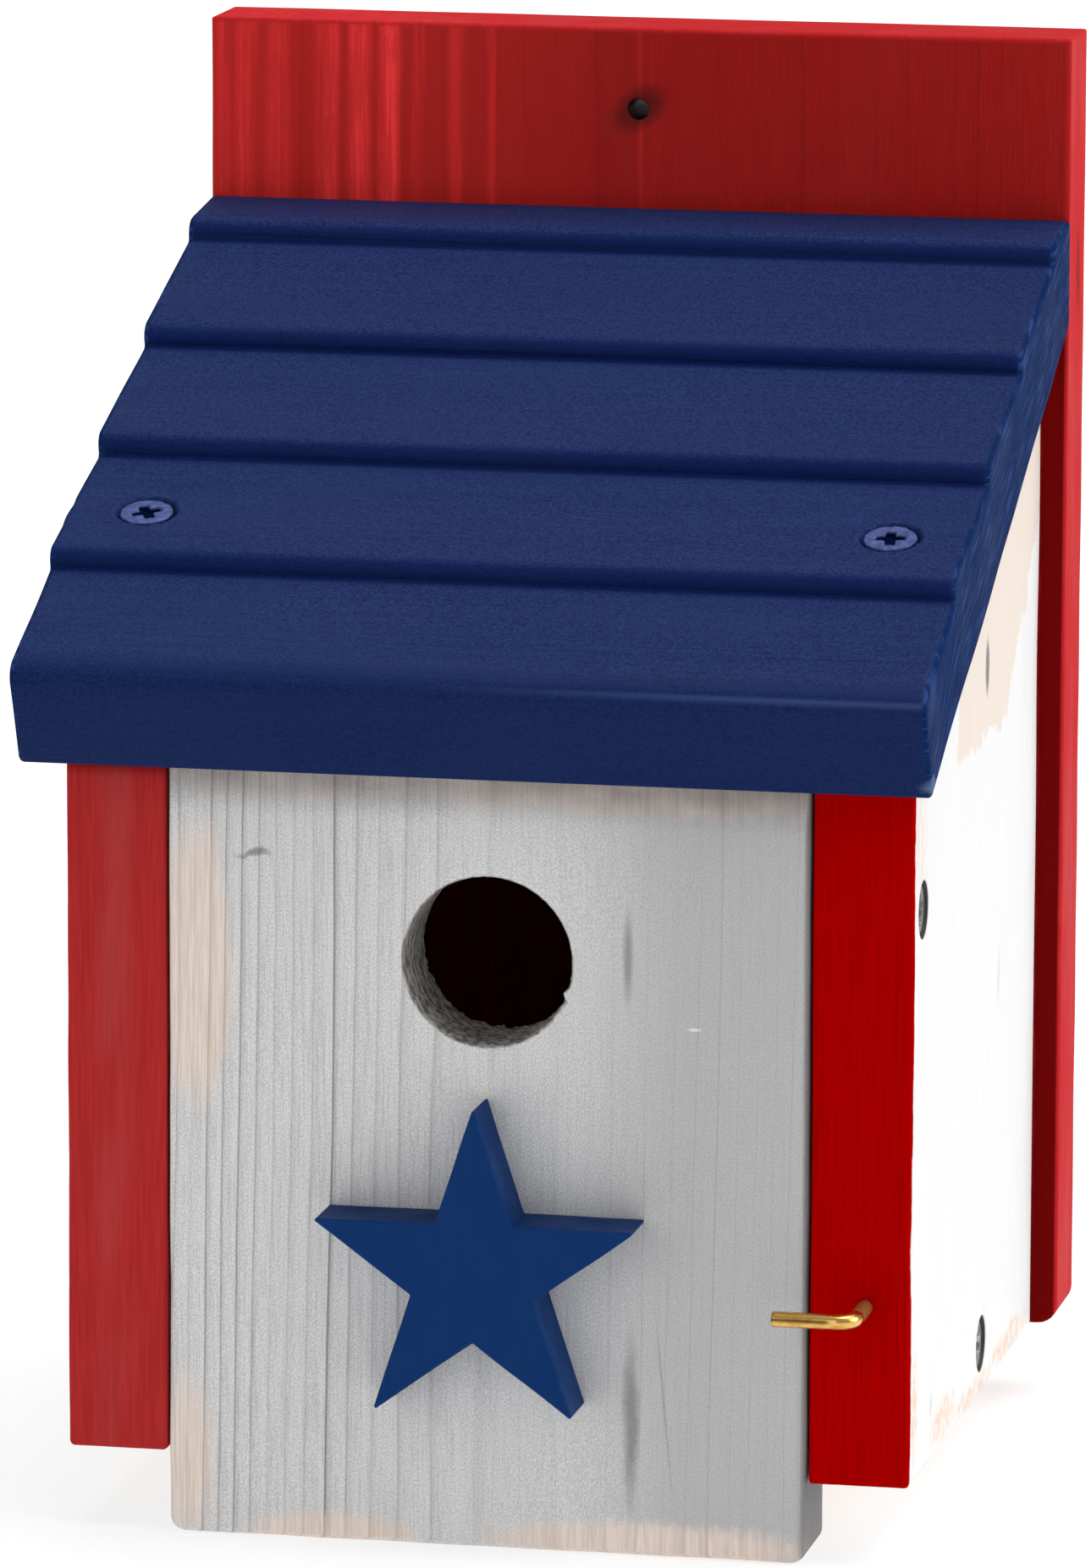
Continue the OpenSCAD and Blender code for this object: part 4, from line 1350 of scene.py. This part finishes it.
def screw_rings(width, shank, length, seed, filled):
    """A countersunk wood screw, head up at the origin: a profile turned round
    its axis. The head's top has a cross recess, which is deepest in the middle
    and rises to the ends of its four arms."""
    half, count = width / 2, 96
    out = np.linspace(0.04, 0.93, 34)
    top = np.concatenate([out * half, half * np.array([0.97, 1.0])])
    fall = np.concatenate([0.05 * MM * out ** 2, [0.12 * MM, 0.45 * MM]])
    cone = np.linspace(0, 1, 6)[1:]
    under_r = half + (shank / 2 - half) * cone
    under_z = 0.45 * MM + (half - shank / 2) * cone
    rest_z = np.linspace(under_z[-1], length - SCREW_TIP, 10)[1:]
    tip = np.linspace(0, 1, 7)[1:-1]
    rest_r = np.full(len(rest_z), shank / 2)
    radius = np.concatenate([top, under_r, rest_r, shank / 2 * (1 - tip)])
    depth = np.concatenate([fall, under_z, rest_z, length - SCREW_TIP + SCREW_TIP * tip])
    angle = np.arange(count) / count * TAU
    x, y = radius[:, None] * np.cos(angle), radius[:, None] * np.sin(angle)
    arm_off, arm_along = np.minimum(abs(x), abs(y)), np.maximum(abs(x), abs(y))
    slot, span = 0.8 * MM, 3.1 * MM
    walls = ease((slot - arm_off + 0.25 * MM * (1 - arm_along / span)) / (0.3 * MM) + 0.5)
    floor = ease((span - arm_along) / (0.3 * span))
    cut = walls * floor
    cut[len(top):] = 0
    recess = (1.1 if filled else 1.9) * MM * cut
    if filled:
        paint = 0.06 * MM + lumps(np.stack([x, y], -1), 2.5 * MM, seed) * 0.10 * MM
        on_head = np.arange(len(radius))[:, None] < len(top)
        recess = recess + np.where(on_head, paint, 0)
    z = -(depth[:, None] + recess)
    bare = np.clip(cut * 1.3, 0, 1)
    return np.stack([x, y, z], -1), bare


class BIRDHOUSE_OT_screws(Operator):
    """Make every wood screw; a pair that is one node is one piece"""

    bl_idname = "birdhouse.screws"
    bl_label = "Wood Screws"

    def execute(self, context):
        colours = settings(context)[1]
        zinc, paint = bare_zinc(colours), painted_screw()
        groups = {}
        for place in screw_places():
            groups.setdefault(place["node"], []).append(place)
        for number, (node, places) in enumerate(groups.items()):
            skin = Skin()
            for k, place in enumerate(places):
                seed = 200 + 7 * number + k
                rings, bare = screw_rings(place["width"], place["shank"], place["length"],
                                          seed, place["paint"])
                turn = self.turn(place, seed)
                index = skin.add(rings @ turn.T + place["head"], 0.0, bare)
                skin.strips(index, flip=True)
                centre = rings[0].mean(0)
                skin.close(index[0], centre @ turn.T + place["head"], bare=1.0)
                tip = np.array([0, 0, -place["length"]])
                skin.close(index[-1], tip @ turn.T + place["head"], flip=True)
            first = places[0]
            name = f"steel_{node}"
            make_piece(name, skin, skin.all_points(), paint if first["paint"] else zinc, "house",
                       [node])
        return {"FINISHED"}

    def turn(self, place, seed):
        """Turns the screw's axis to where its head faces, and its recess by a
        random angle, as screws stop anywhere."""
        axis = Vector(place["axis"])
        spin = 0.12 if place["paint"] else np.random.default_rng(seed).uniform(0, 1.5)
        if place["paint"] and place["side"] == "left":
            spin = 0.5
        lie = axis.to_track_quat("Z", "Y").to_matrix()
        return np.array(lie @ Matrix.Rotation(spin, 3, "Z"))


class BIRDHOUSE_OT_hook(Operator):
    """Make the brass screw hook, bent square over the panel's edge"""

    bl_idname = "birdhouse.hook"
    bl_label = "Brass Hook"

    bend: FloatProperty(name="Bend", description="Radius of the bend's middle line",
                        default=3.2 * MM, min=2 * MM, max=6 * MM, unit="LENGTH",
                        subtype="DISTANCE")

    def execute(self, context):
        colours = settings(context)[1]
        low, high = box_of("brass_hook")
        rod = (high[2] - low[2]) / 2
        level = (high[2] + low[2]) / 2
        shank_x, arm_y = high[0] - rod, low[1] + rod
        b = self.bend
        swing = np.linspace(0, np.pi / 2, 15)
        bend_x = shank_x - b + b * np.cos(swing)
        bend_y = arm_y + b - b * np.sin(swing)
        shank = np.linspace(high[1], arm_y + b, 14)[:-1]
        arm = np.linspace(shank_x - b, low[0], 14)[1:]
        path = np.concatenate([
            np.stack([np.full(len(shank), shank_x), shank], 1),
            np.stack([bend_x, bend_y], 1),
            np.stack([arm, np.full(len(arm), arm_y)], 1)])
        ahead = unit(np.gradient(path, axis=0))
        aside = np.stack([ahead[:, 1], -ahead[:, 0]], 1)
        angle = np.linspace(0, 1, 40, endpoint=False) * TAU
        edge = rod * 0.22
        ends_r, ends_s = self.end_round(rod, edge)
        rod_r = np.full(len(path), rod)
        path = np.concatenate([path[0] + ahead[0] * ends_s[::-1, None], path[1:-1],
                               path[-1] - ahead[-1] * ends_s[:, None]])
        aside = np.concatenate([np.repeat(aside[:1], len(ends_s), 0), aside[1:-1],
                                np.repeat(aside[-1:], len(ends_s), 0)])
        swell = np.concatenate([ends_r[::-1], rod_r[1:-1], ends_r])
        across = np.cos(angle)[None, :, None] * swell[:, None, None]
        upward = np.sin(angle)[None, :] * swell[:, None]
        flat = path[:, None] + across * aside[:, None]
        rings = np.concatenate([flat, (level + upward)[..., None]], -1)
        skin = Skin()
        index = skin.add(rings)
        skin.strips(index, flip=True)
        skin.close(index[0], rings[0].mean(0))
        skin.close(index[-1], rings[-1].mean(0), flip=True)
        brass = bright_brass(colours, rod, level, shank_x - b, arm_y + b)
        make_piece("brass_screw_hook", skin, skin.all_points(), brass, "hook",
                   ["brass_hook"])
        return {"FINISHED"}

    def end_round(self, rod, edge):
        """Radius and distance from the end for a rod cut square with its rim
        filed round: full size, over the round, and in to the middle."""
        arc = np.linspace(0, np.pi / 2, 5)
        radius = np.concatenate([rod - edge + edge * np.cos(arc), [0.5 * (rod - edge)]])
        back = np.concatenate([edge * (1 - np.sin(arc)), [0.0]])
        return radius, back


# --------------------------------------------------------------------- stage


class BIRDHOUSE_OT_stage(Operator):
    """Make the pale floor, the studio lights and the camera"""

    bl_idname = "birdhouse.stage"
    bl_label = "Studio"

    top_light: FloatProperty(
        name="Top light", description="Strength of the broad light overhead",
        default=2.3, min=0, max=10)
    side_light: FloatProperty(
        name="Side light", description="Strength of the broad light at the right",
        default=1.55, min=0, max=10)
    front_light: FloatProperty(
        name="Front light", description="Strength of the broad light in front",
        default=0.5, min=0, max=10)

    def execute(self, context):
        self.floor(CAD_BOX[0][2])
        self.sky(context)
        self.light("top_light", (0.25, 0.1, 1.0), self.top_light, 50)
        self.light("side_light", (1.0, 0.05, 0.45), self.side_light, 40)
        self.light("front_light", (-0.5, -1.0, 0.3), self.front_light, 50)
        self.camera(context)
        context.scene.view_settings.view_transform = "Standard"
        context.scene.view_settings.look = "None"
        return {"FINISHED"}

    def floor(self, level):
        """A large level square just under the lowest point."""
        side = np.linspace(-FLOOR_REACH, FLOOR_REACH, 9)
        x, y = np.meshgrid(side, side)
        skin = Skin()
        index = skin.add(np.stack([x, y, np.full_like(x, level - FLOOR_GAP)], -1))
        corners = np.stack([index[:-1, :-1], index[:-1, 1:], index[1:, 1:], index[1:, :-1]], -1)
        mesh = bpy.data.meshes.new("studio_floor")
        mesh.from_pydata(skin.all_points().tolist(), [], corners.reshape(-1, 4).tolist())
        f = Finish("studio_floor")
        f.set(Base_Color=(0.4, 0.4, 0.4, 1.0), Roughness=0.9, Specular_IOR_Level=0.0,
              Emission_Color=(1.0, 1.0, 1.0, 1.0), Emission_Strength=0.66)
        mesh.materials.append(f.material)
        floor = bpy.data.objects.new("studio_floor", mesh)
        bpy.context.scene.collection.objects.link(floor)

    def sky(self, context):
        """White behind the object, and a softer white for light."""
        world = bpy.data.worlds.new("studio")
        world.use_nodes = True
        tree = world.node_tree
        back = tree.nodes["Background"]
        back.inputs["Color"].default_value = (1, 1, 1, 1)
        seen = tree.nodes.new("ShaderNodeLightPath")
        level = tree.nodes.new("ShaderNodeMapRange")
        level.inputs["To Min"].default_value = SKY_LIGHT
        level.inputs["To Max"].default_value = SKY_SEEN
        tree.links.new(seen.outputs["Is Camera Ray"], level.inputs["Value"])
        tree.links.new(level.outputs[0], back.inputs["Strength"])
        context.scene.world = world

    def light(self, name, towards, strength, spread):
        """A far, broad light in the direction given, spread degrees across."""
        data = bpy.data.lights.new(name, "SUN")
        data.energy, data.angle = strength, np.radians(spread)
        lamp = bpy.data.objects.new(name, data)
        lamp.location = towards
        lamp.rotation_euler = Vector(towards).to_track_quat("Z", "Y").to_euler()
        bpy.context.scene.collection.objects.link(lamp)

    def camera(self, context):
        """A long lens in front, a little to the right and above."""
        data = bpy.data.cameras.new("camera")
        data.sensor_width, data.lens = CAMERA_SENSOR, CAMERA_LENS
        data.clip_start, data.clip_end = 0.1, 50
        camera = bpy.data.objects.new("camera", data)
        camera.location = CAMERA_PLACE
        yaw, pitch, roll = (np.radians(a) for a in CAMERA_YAW_PITCH_ROLL)
        turn = (Matrix.Rotation(yaw, 4, "Z") @ Matrix.Rotation(np.pi / 2 + pitch, 4, "X")
                @ Matrix.Rotation(roll, 4, "Z"))
        camera.rotation_euler = turn.to_euler()
        context.scene.collection.objects.link(camera)
        context.scene.camera = camera


class BIRDHOUSE_PT_workshop(Panel):
    """Lists the birdhouse's pieces in the 3D view's sidebar"""

    bl_label = "Birdhouse"
    bl_idname = "BIRDHOUSE_PT_workshop"
    bl_space_type = "VIEW_3D"
    bl_region_type = "UI"
    bl_category = "Birdhouse"

    def draw(self, context):
        layout = self.layout
        for group in settings(context):
            for name in group.bl_rna.properties.keys():
                if name not in ("rna_type", "name"):
                    layout.prop(group, name)
        for operator in OPERATORS:
            layout.operator(operator.bl_idname)


OPERATORS = (
    BIRDHOUSE_OT_back_board,
    BIRDHOUSE_OT_side_walls,
    BIRDHOUSE_OT_floor_board,
    BIRDHOUSE_OT_front_panel,
    BIRDHOUSE_OT_roof_board,
    BIRDHOUSE_OT_star,
    BIRDHOUSE_OT_screws,
    BIRDHOUSE_OT_hook,
    BIRDHOUSE_OT_stage,
)
CLASSES = (BirdhouseSizes, BirdhouseColours, *OPERATORS, BIRDHOUSE_PT_workshop)


def register():
    for item in CLASSES:
        bpy.utils.register_class(item)
    bpy.types.Scene.birdhouse_sizes = PointerProperty(type=BirdhouseSizes)
    bpy.types.Scene.birdhouse_colours = PointerProperty(type=BirdhouseColours)


def unregister():
    del bpy.types.Scene.birdhouse_colours
    del bpy.types.Scene.birdhouse_sizes
    for item in reversed(CLASSES):
        bpy.utils.unregister_class(item)


def main():
    """Builds every piece in order."""
    register()
    for operator in OPERATORS:
        group, name = operator.bl_idname.split(".")
        getattr(getattr(bpy.ops, group), name)()


if __name__ == "__main__":
    main()
